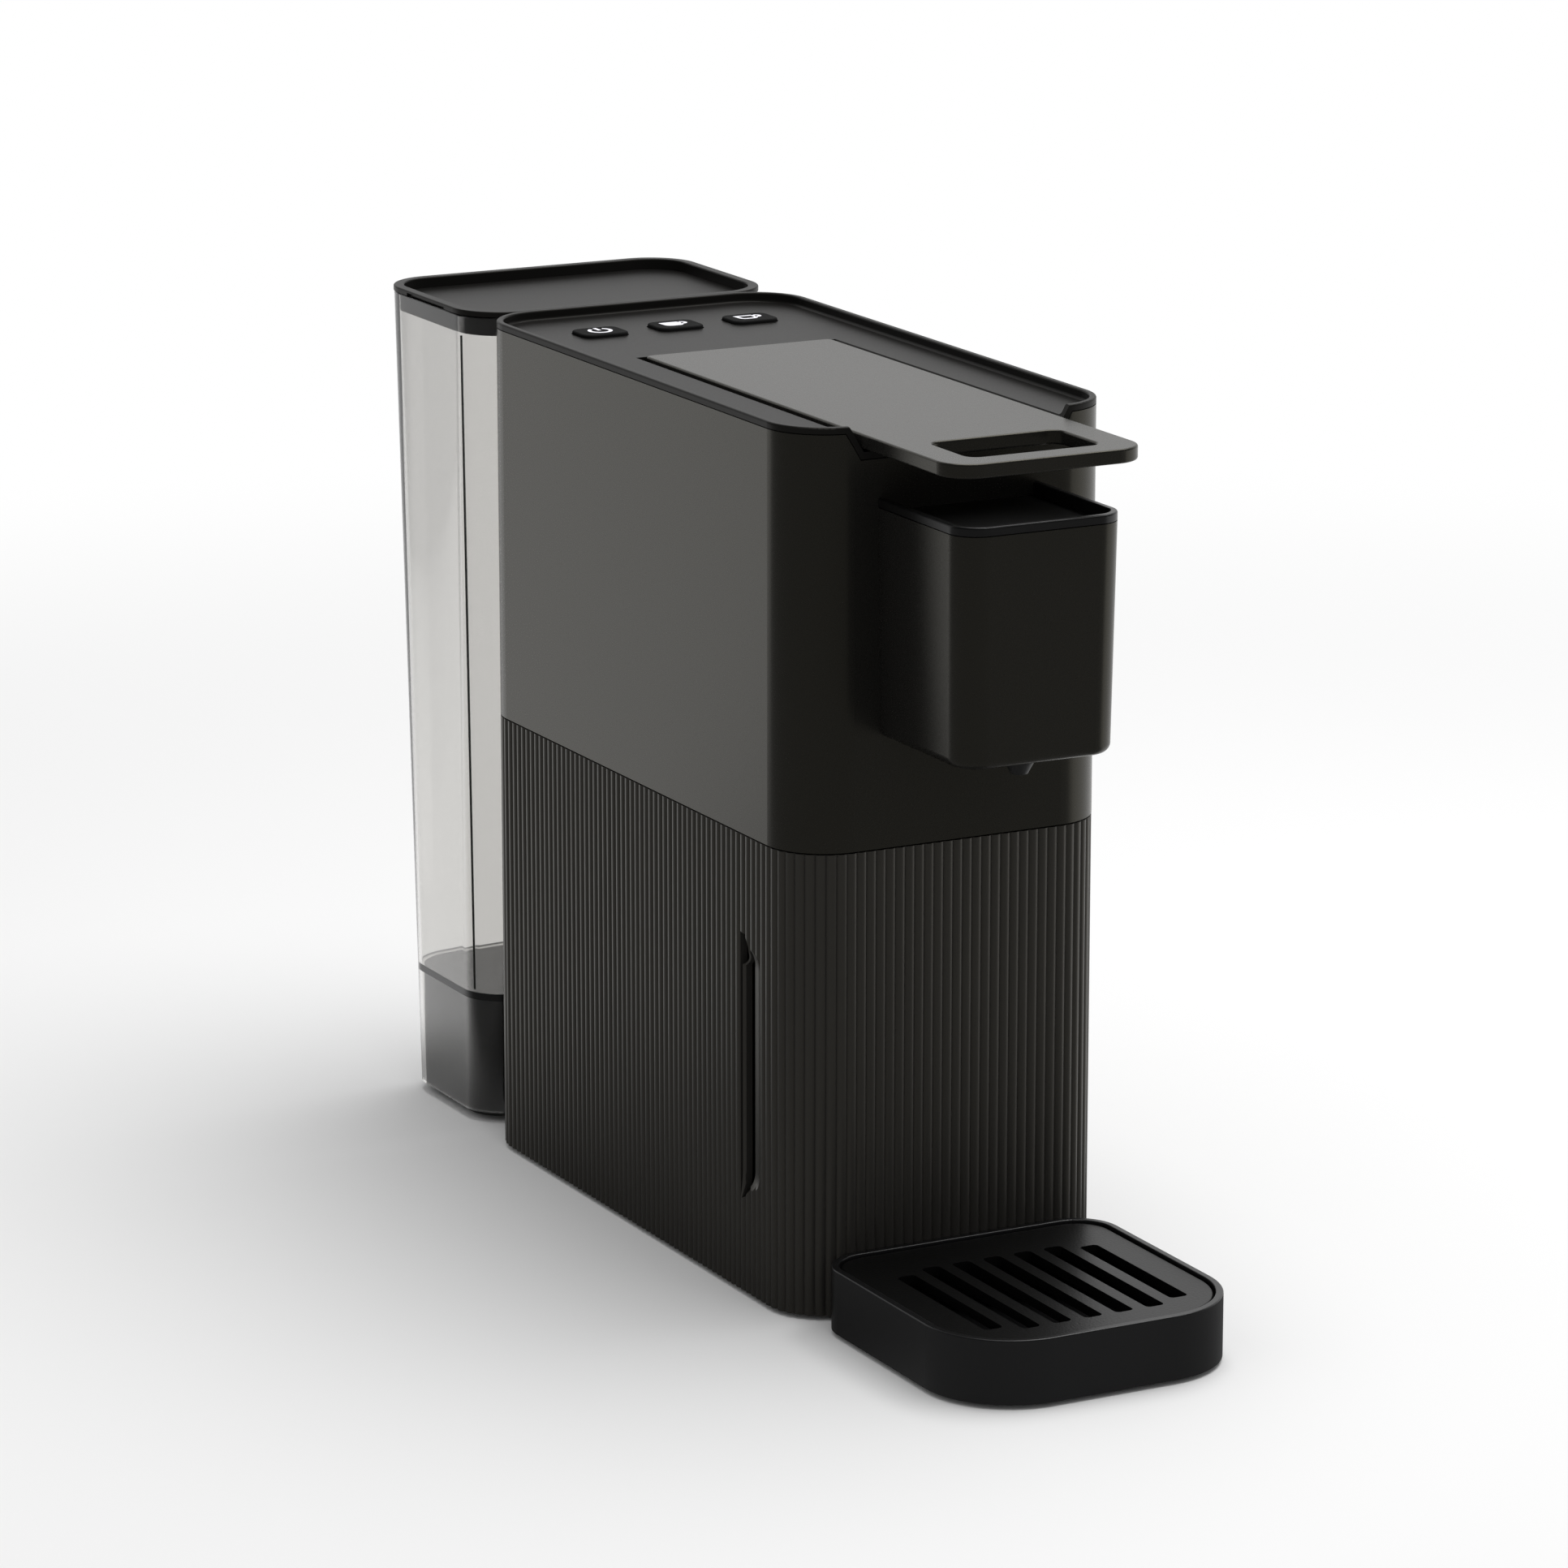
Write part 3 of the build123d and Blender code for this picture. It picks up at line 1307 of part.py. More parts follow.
# Drip grid: a plate with seven slots, the two outer ones shorter
grid_slots_y = front_y - grid_slot_middle
end_slot_side = 3 * grid_slot_pitch
with BuildPart() as drip_grid:
    with BuildSketch(level(ledge_z, tray_rear_y)):
        add(grid_outline)
    extrude(amount=grid_thickness)
    fillet(drip_grid.edges().group_by(Axis.Z)[-1], grid_round)
    with BuildSketch(level(ledge_z, grid_slots_y)):
        with GridLocations(grid_slot_pitch, 0, 5, 1):
            RectangleRounded(grid_slot_width, grid_slot_length, grid_slot_corner)
        with GridLocations(2 * end_slot_side, 0, 2, 1):
            RectangleRounded(grid_slot_width, grid_end_slot_length, grid_slot_corner)
    extrude(amount=grid_thickness, mode=Mode.SUBTRACT)
drip_grid.part.label = "drip_grid"
export_step(drip_grid.part, "parts/drip_grid.step")

# Plinth behind the body that the tank stands over, joined to the body by a hollow neck
plinth_inset = tank_wall + plinth_gap
plinth_mid_y = (plinth_front_y + plinth_rear_y) / 2
plinth_depth = plinth_rear_y - plinth_front_y
neck_rear_y = plinth_front_y + plinth_inset + plinth_corner
neck_mid_y = (rear_y + neck_rear_y) / 2
plinth_room = tank_floor_z - plinth_wall - plinth_z
with BuildPart() as tank_plinth:
    with BuildSketch(level(plinth_z, plinth_mid_y)):
        RectangleRounded(
            plinth_width - 2 * plinth_inset, plinth_depth - 2 * plinth_inset, plinth_corner - plinth_inset
        )
    extrude(amount=tank_floor_z - plinth_z)
    with BuildSketch(level(plinth_z, neck_mid_y)):
        Rectangle(plinth_neck_width, neck_rear_y - rear_y)
    extrude(amount=plinth_neck_height)
    inner_inset = plinth_inset + plinth_wall
    with BuildSketch(level(plinth_z, plinth_mid_y)):
        RectangleRounded(
            plinth_width - 2 * inner_inset, plinth_depth - 2 * inner_inset, plinth_corner - inner_inset
        )
    extrude(amount=plinth_room, mode=Mode.SUBTRACT)
    with BuildSketch(level(plinth_z, neck_mid_y)):
        Rectangle(plinth_neck_width - 2 * plinth_wall, neck_rear_y - rear_y)
    extrude(amount=plinth_neck_height - plinth_wall, mode=Mode.SUBTRACT)
    with BuildSketch(level(plinth_z, plinth_foot_y)):
        with GridLocations(2 * plinth_foot_side, 0, 2, 1):
            Circle(foot_radius)
    extrude(amount=plinth_room)
    with BuildSketch(level(tank_floor_z, valve_y)):
        with Locations((meter_side, 0)):
            Circle(socket_radius + fit_gap)
    extrude(amount=-plinth_wall, mode=Mode.SUBTRACT)
tank_plinth.part.label = "tank_plinth"
export_step(tank_plinth.part, "parts/tank_plinth.step")

# Valve socket in the plinth: a cup for the tank's spigot, with a probe that opens the valve and a side port
socket_bore = spigot_radius + socket_gap
socket_floor_z = tank_floor_z - socket_depth
socket_low_z = meter_port_z - nipple_radius - socket_floor
probe_top_z = socket_floor_z + poppet_stem
with BuildPart() as valve_socket:
    with BuildSketch(level(socket_low_z, valve_y)):
        with Locations((meter_side, 0)):
            Circle(socket_radius)
    extrude(amount=tank_floor_z - socket_low_z)
    with BuildSketch(level(socket_floor_z, valve_y)):
        with Locations((meter_side, 0)):
            Circle(socket_bore)
    extrude(amount=socket_depth, mode=Mode.SUBTRACT)
    with BuildSketch(level(socket_floor_z, valve_y)):
        with Locations((meter_side, 0)):
            Circle(hose_bore)
    extrude(amount=poppet_stem)
    with BuildSketch(upright(valve_y)):
        with Locations((meter_side, meter_port_z)):
            Circle(nipple_radius)
    extrude(amount=socket_radius + socket_port_length)
valve_socket.part.label = "valve_socket"
export_step(valve_socket.part, "parts/valve_socket.step")

# Rubber ring at the bottom of the socket
with BuildPart() as socket_seal:
    with BuildSketch(level(socket_floor_z, valve_y)):
        with Locations((meter_side, 0)):
            Circle(socket_bore - fit_gap)
            Circle(seal_ring_inner, mode=Mode.SUBTRACT)
    extrude(amount=seal_ring_height)
socket_seal.part.label = "socket_seal"
export_step(socket_seal.part, "parts/socket_seal.step")

# Water tank: a leaning smoked shell with a floor above its skirt and a spigot into the socket
tank_floor_top_z = tank_floor_z + tank_floor
spigot_length = socket_depth - seal_ring_height - seat_gap
neck_notch_width = plinth_neck_width + 2 * neck_side_gap
neck_notch_z = plinth_z + plinth_neck_height + neck_side_gap
with BuildPart() as water_tank:
    for section_z in (tank_low_z, tank_top_z):
        with BuildSketch(tank_level(section_z)):
            tank_outline(section_z)
    loft(ruled=True)
    for section_z in (tank_floor_top_z, tank_top_z):
        with BuildSketch(tank_level(section_z)):
            tank_outline(section_z, tank_wall)
    loft(ruled=True, mode=Mode.SUBTRACT)
    for section_z in (tank_low_z, tank_floor_z):
        with BuildSketch(tank_level(section_z)):
            tank_outline(section_z, tank_wall)
    loft(ruled=True, mode=Mode.SUBTRACT)
    with BuildSketch(level(tank_low_z, plinth_front_y)):
        Rectangle(neck_notch_width, tank_foot_corner)
    extrude(amount=neck_notch_z - tank_low_z, mode=Mode.SUBTRACT)
    with BuildSketch(level(tank_floor_z, valve_y)):
        with Locations((meter_side, 0)):
            Circle(spigot_radius)
    extrude(amount=-spigot_length)
    with BuildSketch(level(tank_floor_top_z, valve_y)):
        with Locations((meter_side, 0)):
            Circle(spigot_radius - spigot_wall)
    extrude(amount=-(tank_floor + spigot_length), mode=Mode.SUBTRACT)
water_tank.part.label = "water_tank"
export_step(water_tank.part, "parts/water_tank.step")

# Valve poppet, held off its seat by the socket's probe while the tank is docked
poppet_z = tank_floor_top_z + poppet_travel
with BuildPart() as valve_poppet:
    with BuildSketch(level(poppet_z, valve_y)):
        with Locations((meter_side, 0)):
            Circle(poppet_head_radius)
    extrude(amount=poppet_head_height)
    with BuildSketch(level(probe_top_z + seat_gap, valve_y)):
        with Locations((meter_side, 0)):
            Circle(poppet_radius)
    extrude(amount=poppet_z - probe_top_z - seat_gap)
valve_poppet.part.label = "valve_poppet"
export_step(valve_poppet.part, "parts/valve_poppet.step")

# Tank lid: a shallow tray with a plug inside the tank's mouth and a finger notch on its left edge
lid_mid_y = (tank_front_y + tank_rear_y) / 2
lid_z = tank_top_z + lid_gap
lid_top_z = lid_z + lid_band
plug_inset = tank_wall + tank_top_inset + lid_plug_gap
plug_cavity_inset = plug_inset + lid_plug_wall
plug_z = lid_z - lid_plug_depth
plug_room = lid_top_z - lid_drop - lid_floor - plug_z
recess_width = body_width - 2 * plug_cavity_inset
recess_depth = tank_depth - 2 * plug_cavity_inset
recess_corner = lid_corner - plug_cavity_inset
with BuildPart() as tank_lid:
    with BuildSketch(level(lid_z, lid_mid_y)):
        RectangleRounded(body_width, tank_depth, lid_corner)
    extrude(amount=lid_band)
    with BuildSketch(level(lid_z, lid_mid_y)):
        RectangleRounded(body_width - 2 * plug_inset, tank_depth - 2 * plug_inset, lid_corner - plug_inset)
    extrude(amount=-lid_plug_depth)
    with BuildSketch(level(lid_top_z - lid_drop, lid_mid_y)):
        RectangleRounded(recess_width, recess_depth, recess_corner)
    extrude(amount=lid_drop, mode=Mode.SUBTRACT)
    fillet(tank_lid.edges().group_by(Axis.Z)[-1], lid_round)
    with BuildSketch(level(plug_z, lid_mid_y)):
        RectangleRounded(recess_width, recess_depth, recess_corner)
    extrude(amount=plug_room, mode=Mode.SUBTRACT)
    with BuildSketch(level(lid_z, tank_front_y + notch_front + notch_length / 2)):
        with Locations((-body_width / 2, 0)):
            Rectangle(2 * notch_depth, notch_length)
    extrude(amount=notch_height, mode=Mode.SUBTRACT)
tank_lid.part.label = "tank_lid"
export_step(tank_lid.part, "parts/tank_lid.step")
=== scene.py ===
import json
import math

import bmesh
import bpy
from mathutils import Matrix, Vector


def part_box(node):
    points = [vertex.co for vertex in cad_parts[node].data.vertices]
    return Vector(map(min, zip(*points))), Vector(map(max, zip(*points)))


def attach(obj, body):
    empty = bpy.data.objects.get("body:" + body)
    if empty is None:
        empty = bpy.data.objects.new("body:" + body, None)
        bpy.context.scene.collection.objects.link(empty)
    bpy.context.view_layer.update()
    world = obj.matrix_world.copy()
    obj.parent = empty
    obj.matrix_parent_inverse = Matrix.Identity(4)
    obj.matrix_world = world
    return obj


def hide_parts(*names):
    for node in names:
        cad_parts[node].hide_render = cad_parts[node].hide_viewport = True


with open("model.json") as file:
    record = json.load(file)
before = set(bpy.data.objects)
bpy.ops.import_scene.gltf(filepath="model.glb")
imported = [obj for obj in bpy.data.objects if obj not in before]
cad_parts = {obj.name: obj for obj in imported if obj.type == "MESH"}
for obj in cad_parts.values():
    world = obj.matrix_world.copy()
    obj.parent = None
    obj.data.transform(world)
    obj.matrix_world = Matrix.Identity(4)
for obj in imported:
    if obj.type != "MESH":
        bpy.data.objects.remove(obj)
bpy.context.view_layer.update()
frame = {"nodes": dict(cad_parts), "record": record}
print("frame loaded:", len(frame["nodes"]), "nodes")

mm = 0.001  # the frame is in metres, the sizes below are in millimetres


def hexToLinear(code):
    channels = []
    for start in (0, 2, 4):
        share = int(code[start:start + 2], 16) / 255
        channels.append(share / 12.92 if share <= 0.04045 else ((share + 0.055) / 1.055) ** 2.4)
    return (*channels, 1.0)


def addNode(tree, kind, settings=None, inputs=None, links=None):
    node = tree.nodes.new(kind)
    for name, value in (settings or {}).items():
        setattr(node, name, value)
    for socket, value in (inputs or {}).items():
        node.inputs[socket].default_value = value
    for socket, source in (links or {}).items():
        tree.links.new(source, node.inputs[socket])
    return node


def newMaterial(name):
    material = bpy.data.materials.new(name)
    material.use_nodes = True
    tree = material.node_tree
    tree.nodes.clear()
    return material, tree


# Moulded plastic: a fine spark-eroded grain breaks up the gloss, and broad flow marks shift the tone.
# The real grain is about 0.1 mm and too fine to show, so it is drawn some five times as coarse.
def mouldedPlastic(name, finish):
    material, tree = newMaterial(name)
    place = addNode(tree, "ShaderNodeTexCoord").outputs["Object"]
    grain = addNode(tree, "ShaderNodeTexNoise", {}, {"Scale": 1 / (finish["grainMm"] * mm), "Detail": 2.0},
                    {"Vector": place})
    flow = addNode(tree, "ShaderNodeTexNoise", {}, {"Scale": 1 / (finish["flowMm"] * mm), "Detail": 3.0},
                   {"Vector": place})
    tone = addNode(tree, "ShaderNodeMix", {"data_type": "RGBA"},
                   {"A": hexToLinear(finish["dark"]), "B": hexToLinear(finish["light"])},
                   {"Factor": flow.outputs["Fac"]})
    gloss = addNode(tree, "ShaderNodeMapRange", {},
                    {"To Min": finish["roughness"] - 0.04, "To Max": finish["roughness"] + 0.04},
                    {"Value": grain.outputs["Fac"]})
    bump = addNode(tree, "ShaderNodeBump", {},
                   {"Strength": finish["bump"], "Distance": finish["bumpMm"] * mm},
                   {"Height": grain.outputs["Fac"]})
    # A finish's warm tint colours its reflections: a painted warm tint that stands in for warm light around
    # it
    shader = addNode(tree, "ShaderNodeBsdfPrincipled", {},
                     {"IOR": finish["ior"], "Specular IOR Level": finish["specular"],
                      "Specular Tint": hexToLinear(finish.get("paintedWarmTint", "ffffff"))},
                     {"Base Color": tone.outputs["Result"], "Roughness": gloss.outputs["Result"],
                      "Normal": bump.outputs["Normal"]})
    addNode(tree, "ShaderNodeOutputMaterial", {}, {}, {"Surface": shader.outputs["BSDF"]})
    return material


# Moulded ABS in warm charcoal: a smooth satin skin that carries long soft reflections, given a painted warm
# tint
charcoalAbs = mouldedPlastic("charcoalAbs", {
    "dark": "181817", "light": "1c1b1a", "roughness": 0.26, "ior": 1.5, "specular": 0.4, "paintedWarmTint": "fff8dd",
    "grainMm": 0.45, "flowMm": 70, "bump": 0.1, "bumpMm": 0.05})
# Moulded ABS in near black: the tray's and the head's skin, a little duller than the charcoal
satinAbs = mouldedPlastic("satinBlackAbs", {
    "dark": "121213", "light": "161617", "roughness": 0.33, "ior": 1.5, "specular": 0.5,
    "grainMm": 0.5, "flowMm": 60, "bump": 0.12, "bumpMm": 0.05})
# Plain black ABS for pieces under the skin: matt, with no clear reflection
blackAbs = mouldedPlastic("blackAbs", {
    "dark": "171717", "light": "1c1c1c", "roughness": 0.5, "ior": 1.5, "specular": 0.5,
    "grainMm": 0.5, "flowMm": 60, "bump": 0.12, "bumpMm": 0.05})
# Charcoal ABS off a ribbed tool, its tone painted lighter than the smooth charcoal's as painted light for
# the floor the ribs reflect: each rib takes a thin pale line, so the whole looks softer
ribbedPaintedLightAbs = mouldedPlastic("ribbedCharcoalPaintedLightAbs", {
    "dark": "282726", "light": "2c2b29", "roughness": 0.35, "ior": 1.5, "specular": 0.5, "paintedWarmTint": "fff8e6",
    "grainMm": 0.45, "flowMm": 70, "bump": 0.1, "bumpMm": 0.05})
# Charcoal ABS with a fine grain: the deck stays dark where the smooth lever shines; its reflections get a
# faint painted warm tint
deckAbs = mouldedPlastic("fineGrainAbs", {
    "dark": "151514", "light": "191817", "roughness": 0.36, "ior": 1.5, "specular": 0.1, "paintedWarmTint": "fffaf0",
    "grainMm": 0.45, "flowMm": 70, "bump": 0.1, "bumpMm": 0.05})
# The same fine grain on the tank's lid: a broad, faint gloss with a painted warm tint
lidAbs = mouldedPlastic("lidFineGrainAbs", {
    "dark": "151514", "light": "191817", "roughness": 0.36, "ior": 1.5, "specular": 0.1, "paintedWarmTint": "fffaf0",
    "grainMm": 0.45, "flowMm": 70, "bump": 0.1, "bumpMm": 0.05})
# Black ABS with its tone painted darker as painted shade, for the tray top of the head in the shade of the
# lever, which hardly shows its own colour
capPaintedShadeAbs = mouldedPlastic("paintedShadeBlackAbs", {
    "dark": "0e0e0e", "light": "121212", "roughness": 0.3, "ior": 1.5, "specular": 0.42,
    "grainMm": 0.45, "flowMm": 50, "bump": 0.1, "bumpMm": 0.05})
# Black ABS with a coarse grain against scratches: the grid's bars sparkle dully
gridAbs = mouldedPlastic("grainedBlackAbs", {
    "dark": "0a0a0a", "light": "0d0d0d", "roughness": 0.36, "ior": 1.5, "specular": 0.3,
    "grainMm": 0.8, "flowMm": 50, "bump": 0.45, "bumpMm": 0.12})
# Matt black ABS behind clear walls: it gives the tank its dark foot
plinthAbs = mouldedPlastic("plinthBlackAbs", {
    "dark": "0d0d0c", "light": "11110f", "roughness": 0.5, "ior": 1.5, "specular": 0.2,
    "grainMm": 0.45, "flowMm": 50, "bump": 0.1, "bumpMm": 0.05})
# Moulded silicone keys: matt, nearly without reflection, so that the marks stand out
softTouch = mouldedPlastic("softTouchSilicone", {
    "dark": "161616", "light": "1a1a1a", "roughness": 0.7, "ior": 1.41, "specular": 0.06,
    "grainMm": 0.4, "flowMm": 12, "bump": 0.1, "bumpMm": 0.05})
# Pale acetal, moulded: a waxy off-white on the pieces that slide
paleAcetal = mouldedPlastic("paleAcetal", {
    "dark": "d2d0ca", "light": "dcdad4", "roughness": 0.4, "ior": 1.48, "specular": 0.5,
    "grainMm": 0.6, "flowMm": 30, "bump": 0.05, "bumpMm": 0.05})
# Moulded rubber: dull and slightly rough
blackRubber = mouldedPlastic("blackRubber", {
    "dark": "131313", "light": "191919", "roughness": 0.75, "ior": 1.5, "specular": 0.4,
    "grainMm": 0.8, "flowMm": 20, "bump": 0.2, "bumpMm": 0.08})
# Extruded silicone hose: milky and softly glossy
siliconeHose = mouldedPlastic("siliconeHose", {
    "dark": "c2beb3", "light": "cdc9bf", "roughness": 0.45, "ior": 1.41, "specular": 0.5,
    "grainMm": 1.0, "flowMm": 20, "bump": 0.05, "bumpMm": 0.05})
# Lacquered glass-fibre board: mottled green with a clear gloss
circuitBoard = mouldedPlastic("circuitBoard", {
    "dark": "28503a", "light": "2f5a3c", "roughness": 0.35, "ior": 1.5, "specular": 0.5,
    "grainMm": 1.2, "flowMm": 8, "bump": 0.1, "bumpMm": 0.05})
# Pad-printed ink: an even cold white with a little texture
whiteInk = mouldedPlastic("whitePadPrint", {
    "dark": "ecebf2", "light": "f4f3fa", "roughness": 0.5, "ior": 1.5, "specular": 0.3,
    "grainMm": 0.3, "flowMm": 4, "bump": 0.05, "bumpMm": 0.02})


# Metal: brushed sheet has fine lines along one way, a casting has a coarse even grain and duller gloss
def plainMetal(name, finish):
    material, tree = newMaterial(name)
    place = addNode(tree, "ShaderNodeTexCoord").outputs["Object"]
    run = addNode(tree, "ShaderNodeMapping", {}, {"Scale": finish["stretch"]}, {"Vector": place})
    lines = addNode(tree, "ShaderNodeTexNoise", {}, {"Scale": 1 / (finish["grainMm"] * mm), "Detail": 3.0},
                    {"Vector": run.outputs["Vector"]})
    tone = addNode(tree, "ShaderNodeMix", {"data_type": "RGBA"},
                   {"A": hexToLinear(finish["dark"]), "B": hexToLinear(finish["light"])},
                   {"Factor": lines.outputs["Fac"]})
    gloss = addNode(tree, "ShaderNodeMapRange", {},
                    {"To Min": finish["roughness"] - 0.08, "To Max": finish["roughness"] + 0.08},
                    {"Value": lines.outputs["Fac"]})
    bump = addNode(tree, "ShaderNodeBump", {},
                   {"Strength": finish["bump"], "Distance": finish["bumpMm"] * mm},
                   {"Height": lines.outputs["Fac"]})
    shader = addNode(tree, "ShaderNodeBsdfPrincipled", {}, {"Metallic": 1.0},
                     {"Base Color": tone.outputs["Result"], "Roughness": gloss.outputs["Result"],
                      "Normal": bump.outputs["Normal"]})
    addNode(tree, "ShaderNodeOutputMaterial", {}, {}, {"Surface": shader.outputs["BSDF"]})
    return material


# Brushed stainless steel: fine lines along its length stretch the highlights across them
brushedSteel = plainMetal("brushedSteel", {
    "dark": "a9abad", "light": "c3c5c7", "roughness": 0.3, "grainMm": 0.4, "stretch": (0.05, 1.0, 1.0),
    "bump": 0.1, "bumpMm": 0.02})
# Blackened steel pins and bars: a dark, oily sheen
blackenedSteel = plainMetal("blackenedSteel", {
    "dark": "1c1c1d", "light": "26262a", "roughness": 0.42, "grainMm": 0.4, "stretch": (0.05, 1.0, 1.0),
    "bump": 0.1, "bumpMm": 0.02})
# Die-cast aluminium: grey, even and dull, with a pitted skin
castAluminium = plainMetal("castAluminium", {
    "dark": "9c9ea0", "light": "b2b4b6", "roughness": 0.55, "grainMm": 0.8, "stretch": (1.0, 1.0, 1.0),
    "bump": 0.3, "bumpMm": 0.08})


# Smoked clear plastic, moulded in a polished tool: each wall darkens a little what is seen through it
def smokedClear(name, finish):
    material, tree = newMaterial(name)
    place = addNode(tree, "ShaderNodeTexCoord").outputs["Object"]
    flow = addNode(tree, "ShaderNodeTexNoise", {}, {"Scale": 1 / (finish["flowMm"] * mm), "Detail": 1.0},
                   {"Vector": place})
    tone = addNode(tree, "ShaderNodeMix", {"data_type": "RGBA"},
                   {"A": hexToLinear(finish["dark"]), "B": hexToLinear(finish["light"])},
                   {"Factor": flow.outputs["Fac"]})
    shader = addNode(tree, "ShaderNodeBsdfPrincipled", {}, {
        "Roughness": finish["roughness"], "IOR": finish["ior"], "Transmission Weight": 1.0},
        {"Base Color": tone.outputs["Result"]})
    addNode(tree, "ShaderNodeOutputMaterial", {}, {}, {"Surface": shader.outputs["BSDF"]})
    return material


# The same plastic seen along a narrow rib: so much of it in line that it reads as a dark thread
smokedRib = smokedClear("smokedClearRib", {
    "dark": "3c3b38", "light": "403f3c", "roughness": 0.1, "ior": 1.5, "flowMm": 90})
# Smoked SAN in a polished tool: clear walls that grey the view and flash at their edges
smokedTank = smokedClear("smokedClearTank", {
    "dark": "e2e1df", "light": "e5e4e2", "roughness": 0.02, "ior": 1.52, "flowMm": 90})

slotMaterials = {
    "charcoal_plastic": charcoalAbs, "satin_black": satinAbs, "black_plastic": blackAbs,
    "white_plastic": paleAcetal, "smoked_clear": smokedTank, "rubber": blackRubber, "hose": siliconeHose,
    "board": circuitBoard, "steel": brushedSteel, "cast_metal": castAluminium}
ownMaterials = {
    "tank_lid": lidAbs, "top_deck": deckAbs, "brew_head_cap": capPaintedShadeAbs, "drip_grid": gridAbs,
    "tank_plinth": plinthAbs, "rear_lower_shell": ribbedPaintedLightAbs, "container_front": ribbedPaintedLightAbs,
    "power_button": softTouch, "large_cup_button": softTouch, "small_cup_button": softTouch,
    "lever_hinge_pin": blackenedSteel, "crank_pins": blackenedSteel, "draw_bars": blackenedSteel}
for row in frame["record"]["subparts"]:
    node = frame["nodes"][row["node"]]
    material = ownMaterials.get(row["node"], slotMaterials[row["material_slot"]])
    node.data.materials.clear()
    node.data.materials.append(material)
print("materials on the CAD nodes")


# One finished piece from a bmesh drawn in millimetres
def placePiece(form, name, body, material, sharpAngle=40):
    bmesh.ops.remove_doubles(form, verts=form.verts, dist=0.0005)  # half a micrometre
    bmesh.ops.recalc_face_normals(form, faces=form.faces)
    bmesh.ops.scale(form, vec=(mm, mm, mm), verts=form.verts)
    mesh = bpy.data.meshes.new(name)
    form.to_mesh(mesh)
    form.free()
    mesh.materials.append(material)
    mesh.shade_smooth()
    mesh.set_sharp_from_angle(angle=math.radians(sharpAngle))
    piece = bpy.data.objects.new(name, mesh)
    bpy.context.scene.collection.objects.link(piece)
    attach(piece, body)
    return piece


# A band of ink swept round a centre, from a short line across its width
def inkArc(form, ring):
    startAngle = math.radians(ring["start"])
    across = [form.verts.new((radius * math.cos(startAngle), radius * math.sin(startAngle), 0))
              for radius in (ring["inner"], ring["outer"])]
    line = form.edges.new(across)
    bmesh.ops.spin(form, geom=[*across, line], cent=(0, 0, 0), axis=(0, 0, 1),
                   angle=math.radians(ring["sweep"]), steps=ring["steps"], use_merge=False)


# A flat patch of ink, narrower and rounded towards its foot
def inkPatch(form, patch):
    made = bmesh.ops.create_grid(form, x_segments=1, y_segments=1, size=0.5)["verts"]
    bmesh.ops.scale(form, vec=(patch["width"], patch["depth"], 1), verts=made)
    low = [vert for vert in made if vert.co.y < 0]
    bmesh.ops.scale(form, vec=(patch["taper"], 1, 1), verts=low)
    if patch["round"]:
        bmesh.ops.bevel(form, geom=low, offset=patch["round"], offset_type="OFFSET", segments=8,
                        profile=0.5, affect="VERTICES", material=-1)


icon = {"thick": 0.05, "lift": 0.01, "size": 1.14}
powerMark = {"ring": {"inner": 2.5, "outer": 3.55, "start": 125, "sweep": 290, "steps": 48},
             "bar": {"width": 1.05, "depth": 3.6, "taper": 1.0, "round": 0}, "barUp": 2.1}
cupMark = {"bowl": {"width": 6.4, "depth": 5.2, "taper": 0.86, "round": 1.7}, "bowlAside": -0.9,
           "handle": {"inner": 0.8, "outer": 1.75, "start": -115, "sweep": 230, "steps": 24},
           "handlePlace": (2.25, 0.9), "line": 1.05}


# The flat mark gets its thickness and goes to the middle of its button's top
def finishIcon(form, name, node, body):
    low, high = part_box(node)
    bmesh.ops.scale(form, vec=(icon["size"], icon["size"], 1), verts=form.verts)
    grown = bmesh.ops.extrude_face_region(form, geom=list(form.faces), use_keep_orig=True)["geom"]
    raised = [item for item in grown if isinstance(item, bmesh.types.BMVert)]
    bmesh.ops.translate(form, vec=(0, 0, icon["thick"]), verts=raised)
    centre = ((low[0] + high[0]) / 2 / mm, (low[1] + high[1]) / 2 / mm, high[2] / mm + icon["lift"])
    bmesh.ops.translate(form, vec=centre, verts=form.verts)
    return placePiece(form, name, body, whiteInk)


form = bmesh.new()
inkArc(form, powerMark["ring"])
before = set(form.verts)
inkPatch(form, powerMark["bar"])
bar = [vert for vert in form.verts if vert not in before]
bmesh.ops.translate(form, vec=(0, powerMark["barUp"], 0), verts=bar)
finishIcon(form, "powerIcon", "power_button", "power_button")

# The large cup is a full patch of ink, the small one an outline
for name, node, filled in (("largeCupIcon", "large_cup_button", True),
                           ("smallCupIcon", "small_cup_button", False)):
    form = bmesh.new()
    inkArc(form, cupMark["handle"])
    bmesh.ops.translate(form, vec=(*cupMark["handlePlace"], 0), verts=form.verts)
    before = set(form.verts)
    inkPatch(form, cupMark["bowl"])
    bowl = [vert for vert in form.verts if vert not in before]
    bmesh.ops.translate(form, vec=(cupMark["bowlAside"], 0, 0), verts=bowl)
    if not filled:
        inside = [face for face in form.faces if all(vert in bowl for vert in face.verts)]
        bmesh.ops.inset_region(form, faces=inside, thickness=cupMark["line"], use_boundary=True,
                               use_even_offset=True)
        bmesh.ops.delete(form, geom=inside, context="FACES_ONLY")
    finishIcon(form, name, node, node)
print("button icons")

